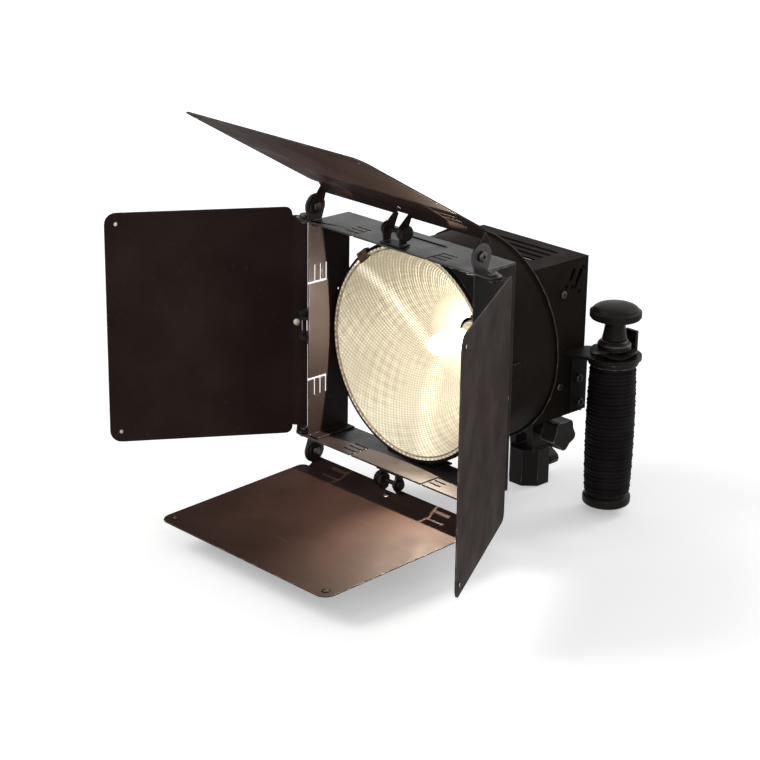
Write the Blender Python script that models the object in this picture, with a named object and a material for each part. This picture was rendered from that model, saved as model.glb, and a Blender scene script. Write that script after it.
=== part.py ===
"""Open-face stage light with four barn-door leaves, a side grip and a tilting stand socket.

Metres, +Z up. The light looks along -Y. The origin is the middle of the stand socket's foot.
"""
import math

import bmesh
import bpy
from mathutils import Matrix, Vector

GAP = 0.0003              # clearance between pieces that touch
HOLE_PLAY = 0.0004        # a hole's radius over its shank's
ROUND_STEPS = 32

# The head against the stand
AXIS_HEIGHT = 0.150       # optical axis above the socket's foot
PIVOT_BACK = 0.174        # front of the barn-door frame to the tilt axis
TILT_HEIGHT = 0.0525      # tilt axis above the socket's foot

# Barn-door frame
LEAF_WIDTH = 0.200
LEAF_OVERHANG = 0.005     # a leaf's side beyond the frame's
FRAME_SIZE = LEAF_WIDTH - 2 * LEAF_OVERHANG
FRAME_DEPTH = 0.045
STRIP = 0.0015
E_SLOT_FROM_MIDDLE = 0.042
E_SLOT_WIDTH = 0.002
E_SLOT_DEPTH = 0.0205
E_TOOTH_REACH = 0.014
E_TOOTH_PITCH = 0.00625
CLIP_SLOT_LENGTH = 0.065
CLIP_SLOT_WIDTH = 0.0022
CLIP_SLOT_BACK = FRAME_DEPTH - 0.012
EAR_HEAD = 0.0105
EAR_FOOT = 0.013
CORNER_TAB = 0.010

# Leaf hinges
HINGE_OUT = 0.012         # hinge axis outside the frame's outer face
HINGE_BACK = 0.007        # hinge axis behind the frame's front
HINGE_PIN = 0.0038        # shank diameter
HINGE_HEAD = 0.0084
HINGE_HEAD_HEIGHT = 0.0024
HINGE_NUT = 0.0072
HINGE_NUT_HEIGHT = 0.0022
TAB_HEAD = 0.0068
KNUCKLE_HALF = 0.0076     # middle plane of a leaf's centre tab from the leaf's middle
KNUCKLE_HEAD = 0.0058

# Leaves
LEAF_REACH = 0.163        # hinge axis to the free edge
LEAF_START = 0.008        # hinge axis to the bend
LEAF_SHEET = 0.001
LEAF_CORNER = 0.010
LEAF_REAR_CORNER = 0.006
LEAF_FIRST_OFFSET = 0.012
LEAF_STACK_STEP = 0.0022  # closed leaves lie one over another
FLANGE_RUN = 0.012
FLANGE_DROP = 0.005
TAB_RUN = 0.009
RIVET_INSET = 0.0095
RIVET_HEAD = 0.0068
RIVET_HEAD_HEIGHT = 0.00055
LEAF_REST = {"top": 30.0, "right": 30.7, "bottom": 2.3, "left": 32.9}
LEAF_ORDER = ["bottom", "left", "right", "top"]
SIDE_TURN = {"top": 0.0, "right": 90.0, "bottom": 180.0, "left": 270.0}

# Centre friction hinges
CLEVIS_SHEET = 0.0015
CLEVIS_FOOT = 0.012
CLEVIS_HEAD = 0.0062
CLEVIS_NECK = 0.0034      # half an ear's width at its foot, clear of a fully opened leaf
FRICTION_KNOB = 0.0128
FRICTION_KNOB_HEIGHT = 0.0048

# Drum
DRUM_LIP = FRAME_SIZE / 2 - 0.003
DRUM_LIP_WIDTH = 0.004
DRUM_RADIUS = DRUM_LIP - DRUM_LIP_WIDTH
DRUM_WALL = 0.0012
DRUM_FRONT = 0.0271       # drum's front lip behind the frame's front
DRUM_REAR = 0.105
DRUM_REAR_FLANGE = DRUM_RADIUS + 0.0025
DRUM_REAR_HOLE = 0.030
CLIP_SHEET = 0.0015
CLIP_TONGUE = 0.0155
CLIP_FOOT_WIDTH = 0.016
CLIP_FOOT_LENGTH = 0.015

# Reflector
REFLECTOR_WALL = 0.0008
REFLECTOR_FOCUS = 0.0245
REFLECTOR_APEX = 0.100
REFLECTOR_HOLE = 0.0145
REFLECTOR_RIM = DRUM_LIP - 0.0008
REFLECTOR_LIP = 0.001
RIM_CLIP_WIDTH = 0.012
RIM_CLIP_SHEET = 0.001
RIM_CLIP_REACH = 0.0075
RIM_CLIP_ANGLES = [-38.0, 58.0]

# Lamp and its slide
LAMP_FRONT = 0.050
LAMP_RADIUS = 0.009
LAMP_BASE_LENGTH = 0.010
SOCKET_RADIUS = 0.012
SOCKET_LENGTH = 0.027
CARRIAGE_BACK = 0.124
CARRIAGE_THICK = 0.003
CARRIAGE_WIDTH = 0.060
CARRIAGE_DROP = 0.036
ROD_RADIUS = 0.0025
ROD_SPREAD = 0.022
SCREW_RADIUS = 0.003
SCREW_DROP = 0.028
CARRIAGE_TOP = 0.018
KNOB_FOCUS_RADIUS = 0.015
KNOB_FOCUS_LENGTH = 0.016

# Housing
HOUSING_WIDTH = 0.120
HOUSING_HEIGHT = 0.136
HOUSING_REAR = 0.1705
HOUSING_SHEET = 0.0015
SCREW_SPOT_BACK = HOUSING_REAR - 0.0295
SCREW_SPOT_MARGIN = 0.028
SCREW_SPOT_HEIGHT = HOUSING_HEIGHT / 2 - SCREW_SPOT_MARGIN
REAR_FLANGE = 0.036       # the rear cover's side flanges, forward
REAR_FLANGE_MARGIN = 0.008
SCREW_SPOT_EDGE = 0.006
LAMP_OPENING = 0.020
CASE_SCREW_SHANK = 0.003
CASE_SCREW_HEAD = 0.0066
CASE_SCREW_HEAD_HEIGHT = 0.0016
VENT_WIDTH = 0.004
LOUVRE_MARGIN = 0.020     # louvres' ends from the housing's sides
REAR_SLOT_MARGIN = 0.022
GLAND_RADIUS = 0.009
GLAND_BORE = 0.004
GLAND_LENGTH = 0.016

# Grip
GRIP_OUT = 0.030          # grip axis from the housing's side
GRIP_SIDE = HOUSING_WIDTH / 2 + GRIP_OUT
GRIP_BACK = HOUSING_REAR + 0.0025
PLATE_LEVEL = -0.012      # middle of the bracket's flat plate from the optical axis
PLATE_THICK = 0.003
PLATE_ROUND = 0.0235
BRACKET_WIDTH = 0.018
BRACKET_EDGE = 0.003      # bracket's lower end above the housing's
BRACKET_SCREW_DROP = 0.024
BRACKET_SCREW_RISE = 0.010
BRACKET_SCREW_BACK = 0.009
COLLAR_RADIUS = 0.021
COLLAR_THICK = 0.0045
WASHER_RADIUS = 0.0195
JAW_RADIUS = 0.014
JAW_HEIGHT = 0.008
STUD_RADIUS = 0.005
CORE_RADIUS = 0.0135
GRIP_RADIUS = 0.0198
GRIP_LENGTH = 0.113
GRIP_CHAMFER = 0.0012
END_RADIUS = 0.0192
END_THICK = 0.0115
KNOB_RADIUS = 0.0215
KNOB_HEAD = 0.0135
KNOB_NECK = 0.0175
KNOB_NECK_RADIUS = 0.0105

# Stand socket and tilt
SOCKET_OUTER = 0.017
SOCKET_HEIGHT = 0.033
SPIGOT_RADIUS = 0.0081
SPIGOT_DEPTH = 0.028
CHEEK_THICK = 0.007
CHEEK_HEAD = 0.013
TONGUE_THICK = 0.013
TONGUE_FOOT = 0.040
TONGUE_FOOT_THICK = 0.003
BOLT_RADIUS = 0.004
BOLT_HEAD = 0.0075
BOLT_HEAD_HEIGHT = 0.005
TILT_KNOB_RADIUS = 0.0145
TILT_KNOB_LENGTH = 0.016
TILT_KNOB_LOBES = 5
TILT_KNOB_HUB = 0.010
SPIGOT_SCREW_HEIGHT = 0.015
SPIGOT_SCREW_RADIUS = 0.003
SPIGOT_KNOB_RADIUS = 0.010
SPIGOT_KNOB_LENGTH = 0.010

PAINT = (0.020, 0.016, 0.015, 1.0)
RUBBER = (0.014, 0.013, 0.014, 1.0)
STEEL = (0.45, 0.43, 0.40, 1.0)
CREAM = (0.86, 0.80, 0.66, 1.0)
TAN = (0.42, 0.33, 0.22, 1.0)
WHITE = (0.80, 0.78, 0.72, 1.0)


def clear_scene():
    for ob in list(bpy.data.objects):
        bpy.data.objects.remove(ob, do_unlink=True)


def head(x, y, z):
    """A point given from the optical axis at the frame's front."""
    return Vector((x, y - PIVOT_BACK, z + AXIS_HEIGHT))


def move(x, y, z):
    return Matrix.Translation((x, y, z))


def turn(degrees, axis):
    return Matrix.Rotation(math.radians(degrees), 4, axis)


HEAD = Matrix.Translation(head(0, 0, 0))
ALONG_X = turn(90, "Y")
ALONG_Y = turn(-90, "X")
PLANE_YZ = Matrix(((0, 0, 1, 0), (1, 0, 0, 0), (0, 1, 0, 0), (0, 0, 0, 1)))
PLANE_XZ = Matrix(((1, 0, 0, 0), (0, 0, -1, 0), (0, 1, 0, 0), (0, 0, 0, 1)))


def arc(a, b, radius, start, end, steps=8):
    points = []
    for i in range(steps + 1):
        angle = math.radians(start + (end - start) * i / steps)
        points.append((a + radius * math.cos(angle), b + radius * math.sin(angle)))
    return points


def circle(a, b, radius, steps=12):
    return arc(a, b, radius, 0, 360 - 360 / steps, steps - 1)


def box_outline(a0, b0, a1, b1):
    return [(a0, b0), (a1, b0), (a1, b1), (a0, b1)]


def round_outline(a0, b0, a1, b1, radius, steps=5):
    return (arc(a1 - radius, b0 + radius, radius, -90, 0, steps)
            + arc(a1 - radius, b1 - radius, radius, 0, 90, steps)
            + arc(a0 + radius, b1 - radius, radius, 90, 180, steps)
            + arc(a0 + radius, b0 + radius, radius, 180, 270, steps))


def slot(a, b, length, width, degrees):
    """A round-ended slot about a point, at an angle."""
    half = (length - width) / 2
    loop = arc(half, 0, width / 2, -90, 90, 3) + arc(-half, 0, width / 2, 90, 270, 3)
    c = math.cos(math.radians(degrees))
    s = math.sin(math.radians(degrees))
    return [(a + x * c - y * s, b + x * s + y * c) for x, y in loop]


def fill_flat(bm, outline, holes, place):
    """A flat face with holes, in the plane of a matrix."""
    edges = []
    for loop in [outline] + holes:
        verts = [bm.verts.new(place @ Vector((a, b, 0))) for a, b in loop]
        edges += [bm.edges.new((verts[i - 1], verts[i])) for i in range(len(verts))]
    bmesh.ops.triangle_fill(bm, use_beauty=True, use_dissolve=False, edges=edges)


def make_object(name, bm, colour, rough, metal, sharp=35):
    bmesh.ops.recalc_face_normals(bm, faces=bm.faces)
    mesh = bpy.data.meshes.new(name)
    bm.to_mesh(mesh)
    bm.free()
    mesh.shade_smooth()
    mesh.set_sharp_from_angle(angle=math.radians(sharp))
    ob = bpy.data.objects.new(name, mesh)
    bpy.context.collection.objects.link(ob)
    material = bpy.data.materials.new(name)
    material.use_nodes = True
    shader = material.node_tree.nodes["Principled BSDF"]
    shader.inputs["Base Color"].default_value = colour
    shader.inputs["Roughness"].default_value = rough
    shader.inputs["Metallic"].default_value = metal
    mesh.materials.append(material)
    return ob


def painted(name, bm):
    return make_object(name, bm, PAINT, 0.45, 0.0)


def steel(name, bm):
    return make_object(name, bm, STEEL, 0.30, 1.0)


def plate(outline, holes, low, high, place):
    """A flat plate from low to high along the matrix's own Z."""
    bm = bmesh.new()
    fill_flat(bm, outline, holes, move(0, 0, low))
    grown = bmesh.ops.extrude_face_region(bm, geom=list(bm.faces), use_keep_orig=True)
    raised = [g for g in grown["geom"] if isinstance(g, bmesh.types.BMVert)]
    bmesh.ops.translate(bm, vec=(0, 0, high - low), verts=raised)
    bmesh.ops.transform(bm, matrix=place, verts=bm.verts)
    return bm


def block(a, b):
    """A box between two corners."""
    bm = bmesh.new()
    bmesh.ops.create_cube(bm, size=1.0)
    size = [abs(q - p) for p, q in zip(a, b)]
    middle = [(p + q) / 2 for p, q in zip(a, b)]
    bmesh.ops.scale(bm, vec=size, verts=bm.verts)
    bmesh.ops.translate(bm, vec=middle, verts=bm.verts)
    return bm


def turned(profile, place, steps=ROUND_STEPS, ring=False):
    """A turned solid from (radius, height) points; a ring's profile closes on itself."""
    bm = bmesh.new()
    verts = [bm.verts.new((r, 0, h)) for r, h in profile]
    pairs = list(zip(verts, verts[1:]))
    if ring:
        pairs.append((verts[-1], verts[0]))
    edges = [bm.edges.new(pair) for pair in pairs]
    bmesh.ops.spin(bm, geom=verts + edges, cent=(0, 0, 0), axis=(0, 0, 1),
                   angle=math.tau, steps=steps, use_merge=True, use_duplicate=False)
    bmesh.ops.remove_doubles(bm, verts=bm.verts, dist=1e-6)
    bmesh.ops.transform(bm, matrix=place, verts=bm.verts)
    return bm


def keep_result(ob):
    """Make the object's evaluated shape its own mesh."""
    bpy.context.view_layer.update()
    graph = bpy.context.evaluated_depsgraph_get()
    mesh = bpy.data.meshes.new_from_object(ob.evaluated_get(graph))
    old = ob.data
    ob.modifiers.clear()
    ob.data = mesh
    bpy.data.meshes.remove(old)
    mesh.name = ob.name
    while len(mesh.materials) > 1:
        mesh.materials.pop()
    return ob


def combine(ob, bm, operation="UNION"):
    """Join a shape to an object, or cut it out of it."""
    tool = painted("tool", bm)
    modifier = ob.modifiers.new("combine", "BOOLEAN")
    modifier.operation = operation
    modifier.solver = "EXACT"
    modifier.object = tool
    keep_result(ob)
    tool_mesh = tool.data
    bpy.data.objects.remove(tool, do_unlink=True)
    bpy.data.meshes.remove(tool_mesh)
    return ob


def ring(name, inner, outer, low, high, place):
    """A flat painted ring."""
    profile = [(inner, low), (outer, low), (outer, high), (inner, high)]
    return painted(name, turned(profile, place, ring=True))


def folded(bm, name, thickness):
    """A folded sheet from faces on its middle surface."""
    bmesh.ops.remove_doubles(bm, verts=bm.verts, dist=1e-6)
    ob = painted(name, bm)
    solid = ob.modifiers.new("sheet", "SOLIDIFY")
    solid.thickness = thickness
    solid.offset = 0.0
    solid.use_even_offset = True
    return keep_result(ob)


def hang(obs, name, place):
    """Parent pieces that move together to an empty on their joint's axis."""
    empty = bpy.data.objects.new(name, None)
    empty.empty_display_size = 0.02
    bpy.context.collection.objects.link(empty)
    empty.matrix_world = place
    for ob in obs:
        ob.parent = empty
        ob.matrix_parent_inverse = place.inverted()
    return empty


def side_place(side):
    """The matrix of one side of the frame: its own X lies along the hinge, its Z points outward."""
    return HEAD @ turn(SIDE_TURN[side], "Y")


HALF = FRAME_SIZE / 2
INSIDE = HALF - STRIP
HINGE_LINE = HALF + HINGE_OUT
PIN_HOLE = HINGE_PIN / 2 + HOLE_PLAY


def e_slot(sign):
    """The outline of one comb-shaped slot, in order along the front edge."""
    near = E_SLOT_FROM_MIDDLE - E_SLOT_WIDTH / 2
    far = E_SLOT_FROM_MIDDLE + E_SLOT_WIDTH / 2
    reach = far + E_TOOTH_REACH
    points = [(near, 0), (near, E_SLOT_DEPTH)]
    for i in range(3):
        back = E_SLOT_DEPTH - i * E_TOOTH_PITCH
        points += [(reach, back), (reach, back - E_SLOT_WIDTH), (far, back - E_SLOT_WIDTH)]
        if i < 2:
            points.append((far, back - E_TOOTH_PITCH))
    points.append((far, 0))
    if sign < 0:
        points = [(-x, y) for x, y in reversed(points)]
    return points


def clip_slot():
    return slot(0, CLIP_SLOT_BACK, CLIP_SLOT_LENGTH, CLIP_SLOT_WIDTH, 0)


def wide_strip(side):
    """A top or bottom strip: side lugs for the side leaves, upright ears for its own leaf."""
    front = [(-HALF, 0)] + e_slot(-1) + e_slot(1) + [(HALF, 0)]
    lug = arc(HINGE_LINE, HINGE_BACK, HINGE_BACK, -90, 90, 8)
    mirrored = [(-x, y) for x, y in reversed(lug)]
    outline = (front[1:-1] + lug + [(HALF, 2 * HINGE_BACK), (HALF, FRAME_DEPTH),
                                    (-HALF, FRAME_DEPTH), (-HALF, 2 * HINGE_BACK)] + mirrored)
    holes = [clip_slot()]
    for sign in (-1, 1):
        holes.append(circle(sign * HINGE_LINE, HINGE_BACK, PIN_HOLE))
    place = side_place(side)
    strip = painted("frame_" + side + "_strip", plate(outline, holes, INSIDE, HALF, place))
    for sign in (-1, 1):
        inner = min(sign * INSIDE, sign * HALF)
        ear = plate(ear_outline(INSIDE + STRIP / 3), [circle(HINGE_BACK, HINGE_LINE, PIN_HOLE)],
                    inner, inner + STRIP, place @ PLANE_YZ)
        combine(strip, ear)
    return strip


def ear_outline(foot_level):
    """An upright ear in (back, up): a straight foot and a round head about the hinge."""
    foot_front = HINGE_BACK - EAR_FOOT / 2
    foot_back = HINGE_BACK + EAR_FOOT / 2
    return ([(foot_front, foot_level), (foot_back, foot_level)]
            + arc(HINGE_BACK, HINGE_LINE, EAR_HEAD, -30, 210, 12))


def narrow_strip(side):
    """A left or right strip with a tab at each end, spot-welded under the wide strips."""
    end = INSIDE - GAP
    front = [(-end, 0)] + e_slot(-1) + e_slot(1) + [(end, 0)]
    outline = front + [(end, FRAME_DEPTH), (-end, FRAME_DEPTH)]
    place = side_place(side)
    strip = painted("frame_" + side + "_strip", plate(outline, [clip_slot()], INSIDE, HALF, place))
    for sign in (-1, 1):
        a = (sign * (end - STRIP), STRIP, INSIDE - CORNER_TAB)
        b = (sign * end, FRAME_DEPTH - STRIP, HALF - STRIP / 2)
        tab = block(a, b)
        bmesh.ops.transform(tab, matrix=place, verts=tab.verts)
        combine(strip, tab)
    return strip


def add_frame_clip(drum, side):
    """A clip welded on the drum: a tongue under the strip and a lip in the strip's slot."""
    place = side_place(side) @ PLANE_YZ
    foot = DRUM_RADIUS - DRUM_WALL / 2
    tongue = INSIDE - GAP - CLIP_SHEET
    riser = FRAME_DEPTH + CLIP_SHEET / 2
    front = riser + CLIP_SHEET - CLIP_TONGUE
    half_slot = CLIP_SLOT_WIDTH / 2 - 2 * GAP
    half_long = CLIP_SLOT_LENGTH / 2 - CLIP_SLOT_WIDTH
    top = tongue + CLIP_SHEET
    wide = [(front, tongue), (riser + CLIP_SHEET, tongue), (riser + CLIP_SHEET, top),
            (CLIP_SLOT_BACK + half_slot, top), (CLIP_SLOT_BACK + half_slot, HALF + STRIP / 2),
            (CLIP_SLOT_BACK - half_slot, HALF + STRIP / 2), (CLIP_SLOT_BACK - half_slot, top),
            (front, top)]
    middle = tongue + CLIP_SHEET / 2
    inner = riser + CLIP_SHEET * 0.8
    low = [(riser, foot), (riser + CLIP_FOOT_LENGTH, foot),
           (riser + CLIP_FOOT_LENGTH, DRUM_RADIUS + CLIP_SHEET), (inner, DRUM_RADIUS + CLIP_SHEET),
           (inner, middle), (riser, middle)]
    half_foot = CLIP_FOOT_WIDTH / 2
    clip = painted("clip", plate(wide, [], -half_long, half_long, place))
    combine(clip, plate(low, [], -half_foot, half_foot, place))
    shape = bmesh.new()
    shape.from_mesh(clip.data)
    mesh = clip.data
    bpy.data.objects.remove(clip, do_unlink=True)
    bpy.data.meshes.remove(mesh)
    return combine(drum, shape)


def clevis(side):
    """The centre hinge bracket of a strip: a foot and two round ears."""
    place = side_place(side)
    low = HALF + GAP
    half = KNUCKLE_HALF + LEAF_SHEET / 2 + GAP
    foot_front = HINGE_BACK - CLEVIS_FOOT / 2
    foot_back = HINGE_BACK + CLEVIS_FOOT / 2
    outer = half + 2 * CLEVIS_SHEET
    foot = block((-outer, foot_front, low), (outer, foot_back, low + CLEVIS_SHEET))
    bmesh.ops.transform(foot, matrix=place, verts=foot.verts)
    ob = painted("centre_hinge_" + side, foot)
    foot_level = low + CLEVIS_SHEET / 3
    outline = ([(HINGE_BACK - CLEVIS_NECK, foot_level), (HINGE_BACK + CLEVIS_NECK, foot_level)]
               + arc(HINGE_BACK, HINGE_LINE, CLEVIS_HEAD, -45, 225, 8))
    for sign in (-1, 1):
        inner = min(sign * half, sign * (half + CLEVIS_SHEET))
        combine(ob, plate(outline, [circle(HINGE_BACK, HINGE_LINE, PIN_HOLE)],
                          inner, inner + CLEVIS_SHEET, place @ PLANE_YZ))
    return ob


def pin(shank, head_width, head_height, nut_width, nut_height, low, high):
    """Profile of a screw with its nut: the nut ends at low, the head starts at high."""
    return [(0, low - nut_height), (nut_width / 2, low - nut_height), (nut_width / 2, low),
            (shank / 2, low), (shank / 2, high), (head_width / 2, high),
            (head_width / 2, high + head_height * 0.6), (head_width * 0.36, high + head_height),
            (0, high + head_height)]


def hinge_screws():
    """Two pivot screws for each leaf, through the ear or lug and the leaf's tab."""
    low = INSIDE - GAP - LEAF_SHEET - GAP
    profile = pin(HINGE_PIN, HINGE_HEAD, HINGE_HEAD_HEIGHT, HINGE_NUT, HINGE_NUT_HEIGHT, low, HALF + GAP)
    for side in LEAF_ORDER:
        for sign, end in ((-1, "a"), (1, "b")):
            place = side_place(side) @ move(0, HINGE_BACK, HINGE_LINE) @ turn(sign * 90, "Y")
            steel("hinge_screw_" + side + "_" + end, turned(profile, place, 10))


def friction_screws():
    """The centre hinges' clamping screws, with round dark heads."""
    edge = KNUCKLE_HALF + LEAF_SHEET / 2 + GAP + CLEVIS_SHEET + GAP
    profile = pin(HINGE_PIN, FRICTION_KNOB, FRICTION_KNOB_HEIGHT, HINGE_HEAD, HINGE_NUT_HEIGHT, -edge, edge)
    for side in LEAF_ORDER:
        place = side_place(side) @ move(0, HINGE_BACK, HINGE_LINE) @ ALONG_X
        painted("friction_screw_" + side, turned(profile, place, 14))


def leaf_offset(side):
    return LEAF_FIRST_OFFSET + LEAF_STACK_STEP * LEAF_ORDER.index(side)


def leaf_flat(side):
    """Matrices of the leaf's panel and flange planes: their X lies along the hinge."""
    offset = leaf_offset(side)
    slope = math.degrees(math.atan2(FLANGE_DROP, FLANGE_RUN))
    panel = move(0, 0, offset) @ turn(180, "X")
    flange = move(0, -LEAF_START, offset) @ turn(-slope, "X")
    return panel, flange


def leaf_panel():
    half = LEAF_WIDTH / 2
    rear = LEAF_REAR_CORNER
    start = LEAF_START
    side = half - LEAF_CORNER
    end = LEAF_REACH - LEAF_CORNER
    bend = INSIDE - GAP - LEAF_SHEET / 2
    return ([(-bend, start), (bend, start)]
            + arc(half - rear, start + rear, rear, -90, 0, 4)
            + arc(side, end, LEAF_CORNER, 0, 90, 5)
            + arc(-side, end, LEAF_CORNER, 90, 180, 5)
            + arc(-half + rear, start + rear, rear, 180, 270, 4))


def leaf(side):
    """A sheet leaf: its panel, the bent hinge flange, and the pivot tabs bent from the flange."""
    panel_plane, flange_plane = leaf_flat(side)
    bm = bmesh.new()
    fill_flat(bm, leaf_panel(), [], panel_plane)
    edge = INSIDE - GAP - LEAF_SHEET / 2
    length = math.hypot(FLANGE_RUN, FLANGE_DROP)
    tab_start = length - TAB_RUN
    notch = length * 0.62
    back = [(-edge, 0), (edge, 0), (edge, tab_start), (edge, length),
            (KNUCKLE_HALF, length), (KNUCKLE_HALF, notch), (-KNUCKLE_HALF, notch),
            (-KNUCKLE_HALF, length), (-edge, length), (-edge, tab_start)]
    fill_flat(bm, back, [], flange_plane)
    for x, first, width in ((edge, tab_start, TAB_HEAD), (-edge, tab_start, TAB_HEAD),
                            (KNUCKLE_HALF, notch, KNUCKLE_HEAD), (-KNUCKLE_HALF, notch, KNUCKLE_HEAD)):
        a = flange_plane @ Vector((0, first, 0))
        b = flange_plane @ Vector((0, length, 0))
        tab = [(b.y, b.z), (a.y, a.z)] + arc(0, 0, width, 180, 360, 8)
        fill_flat(bm, tab, [circle(0, 0, PIN_HOLE)], move(x, 0, 0) @ PLANE_YZ)
    ob = folded(bm, "leaf_" + side, LEAF_SHEET)
    for place in rivet_places(side):
        combine(ob, rivet(place))
    return ob


def rivet_places(side):
    """Rivets near the free corners, and one in the middle of the hinge flange."""
    panel_plane, flange_plane = leaf_flat(side)
    across = LEAF_WIDTH / 2 - RIVET_INSET
    along = LEAF_REACH - RIVET_INSET
    middle = 0.3 * math.hypot(FLANGE_RUN, FLANGE_DROP)
    return [panel_plane @ move(-across, along, 0), panel_plane @ move(across, along, 0),
            flange_plane @ move(0, middle, 0)]


def rivet(place):
    """A rivet set in the sheet, with a low domed head on each face."""
    top = LEAF_SHEET / 2 + RIVET_HEAD_HEIGHT
    rim = LEAF_SHEET * 0.3
    wide = RIVET_HEAD / 2
    profile = [(0, -top), (wide * 0.62, -top), (wide, -rim), (wide, rim), (wide * 0.62, top), (0, top)]
    return turned(profile, place, 8)


def make_leaf(side):
    place = (side_place(side) @ move(0, HINGE_BACK, HINGE_LINE)
             @ turn(-LEAF_REST[side], "X"))
    empty = hang([], "leaf_axis_" + side, place)
    leaf(side).parent = empty


def drum():
    """A round shell with a front lip, and the back plate that closes it round a hole."""
    inner = DRUM_RADIUS - DRUM_WALL
    lip = DRUM_FRONT - DRUM_WALL
    rear_wall = DRUM_REAR - DRUM_WALL
    end = rear_wall - GAP
    profile = [(inner, lip), (DRUM_LIP, lip), (DRUM_LIP, DRUM_FRONT), (DRUM_RADIUS, DRUM_FRONT),
               (DRUM_RADIUS, end), (inner, end)]
    ring("drum_back", DRUM_REAR_HOLE, DRUM_REAR_FLANGE, rear_wall, DRUM_REAR, HEAD @ ALONG_Y)
    shell = painted("drum_shell", turned(profile, HEAD @ ALONG_Y, 40, ring=True))
    for side in LEAF_ORDER:
        add_frame_clip(shell, side)
    return shell


def bowl_radius(y, shift=0.0):
    return math.sqrt(max(0.0, 4 * REFLECTOR_FOCUS * (REFLECTOR_APEX + shift - y)))


def reflector():
    """A deep bowl whose rim lies in front of the drum's lip."""
    rim_back = DRUM_FRONT - DRUM_WALL - GAP
    rim_front = rim_back - REFLECTOR_LIP
    last = REFLECTOR_APEX - REFLECTOR_HOLE ** 2 / (4 * REFLECTOR_FOCUS)
    steps = 7
    inner = []
    for i in range(steps + 1):
        y = rim_front + (last - rim_front) * i / steps
        inner.append((min(bowl_radius(y), DRUM_RADIUS - DRUM_WALL - GAP - REFLECTOR_WALL), y))
    outer = []
    for r, y in reversed(inner[1:]):
        outer.append((r + REFLECTOR_WALL, y + REFLECTOR_WALL * 0.4))
    outer.append((inner[0][0] + REFLECTOR_WALL, rim_back))
    profile = inner + outer + [(REFLECTOR_RIM, rim_back), (REFLECTOR_RIM, rim_front)]
    bm = turned(profile, HEAD @ ALONG_Y, 36, ring=True)
    return make_object("reflector", bm, CREAM, 0.25, 0.6)


def rim_clips():
    """Spring clips that hold the reflector's rim to the drum's lip."""
    rim_front = DRUM_FRONT - DRUM_WALL - GAP - REFLECTOR_LIP - GAP
    inside = DRUM_LIP - RIM_CLIP_REACH
    out = DRUM_LIP + GAP
    back = DRUM_FRONT + GAP
    outline = [(rim_front - RIM_CLIP_SHEET, inside), (rim_front, inside), (rim_front, out), (back, out),
               (back, out - RIM_CLIP_SHEET * 2), (back + RIM_CLIP_SHEET, out - RIM_CLIP_SHEET * 2),
               (back + RIM_CLIP_SHEET, out + RIM_CLIP_SHEET),
               (rim_front - RIM_CLIP_SHEET, out + RIM_CLIP_SHEET)]
    for number, angle in enumerate(RIM_CLIP_ANGLES, 1):
        place = HEAD @ turn(angle, "Y") @ PLANE_YZ
        bm = plate(outline, [], -RIM_CLIP_WIDTH / 2, RIM_CLIP_WIDTH / 2, place)
        make_object("reflector_clip_" + str(number), bm, TAN, 0.4, 0.8)


def lamp():
    """A single-ended quartz lamp with its ceramic base, and the holder it plugs into."""
    base = CARRIAGE_BACK - GAP - SOCKET_LENGTH - GAP
    pinch = base - LAMP_BASE_LENGTH
    glass = []
    for a in range(0, 91, 15):
        angle = math.radians(a)
        glass.append((LAMP_RADIUS * math.sin(angle), LAMP_FRONT + LAMP_RADIUS * (1 - math.cos(angle))))
    glass += [(LAMP_RADIUS, pinch - LAMP_RADIUS * 0.5), (LAMP_RADIUS * 0.55, pinch),
              (LAMP_RADIUS * 0.9, pinch), (LAMP_RADIUS * 0.9, base), (0, base)]
    bulb = make_object("lamp_bulb", turned(glass, HEAD @ ALONG_Y, 18), WHITE, 0.05, 0.0)
    front = base + GAP
    back = CARRIAGE_BACK - GAP
    body = [(0, front), (SOCKET_RADIUS, front), (SOCKET_RADIUS, back), (0, back)]
    holder = make_object("lamp_holder", turned(body, HEAD @ ALONG_Y, 28), WHITE, 0.6, 0.0)
    return [bulb, holder]


def carriage():
    """The plate that carries the lamp holder on two rods and the focus screw."""
    half = CARRIAGE_WIDTH / 2
    outline = round_outline(-half, -CARRIAGE_DROP, half, CARRIAGE_TOP, 0.004, 3)
    holes = [circle(s * ROD_SPREAD, -SCREW_DROP, ROD_RADIUS + HOLE_PLAY) for s in (-1, 1)]
    holes.append(circle(0, -SCREW_DROP, SCREW_RADIUS + HOLE_PLAY))
    place = HEAD @ PLANE_XZ
    return painted("lamp_carriage", plate(outline, holes, -CARRIAGE_BACK - CARRIAGE_THICK,
                                          -CARRIAGE_BACK, place))


def rods():
    """Two guide rods on a cross plate behind the chassis wall."""
    front = DRUM_REAR + HOUSING_SHEET + 2 * GAP
    back = HOUSING_REAR - HOUSING_SHEET - GAP
    half = ROD_SPREAD + 2 * ROD_RADIUS
    outline = round_outline(-half, -SCREW_DROP - 2 * ROD_RADIUS, half, -SCREW_DROP + 2 * ROD_RADIUS, 0.002, 3)
    hole = circle(0, -SCREW_DROP, SCREW_RADIUS + HOLE_PLAY)
    ob = steel("guide_rods", plate(outline, [hole], -front - HOUSING_SHEET, -front, HEAD @ PLANE_XZ))
    profile = [(0, front + HOUSING_SHEET / 2), (ROD_RADIUS, front + HOUSING_SHEET / 2), (ROD_RADIUS, back),
               (0, back)]
    for sign in (-1, 1):
        combine(ob, turned(profile, HEAD @ move(sign * ROD_SPREAD, 0, -SCREW_DROP) @ ALONG_Y, 16))
    return ob


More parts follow.
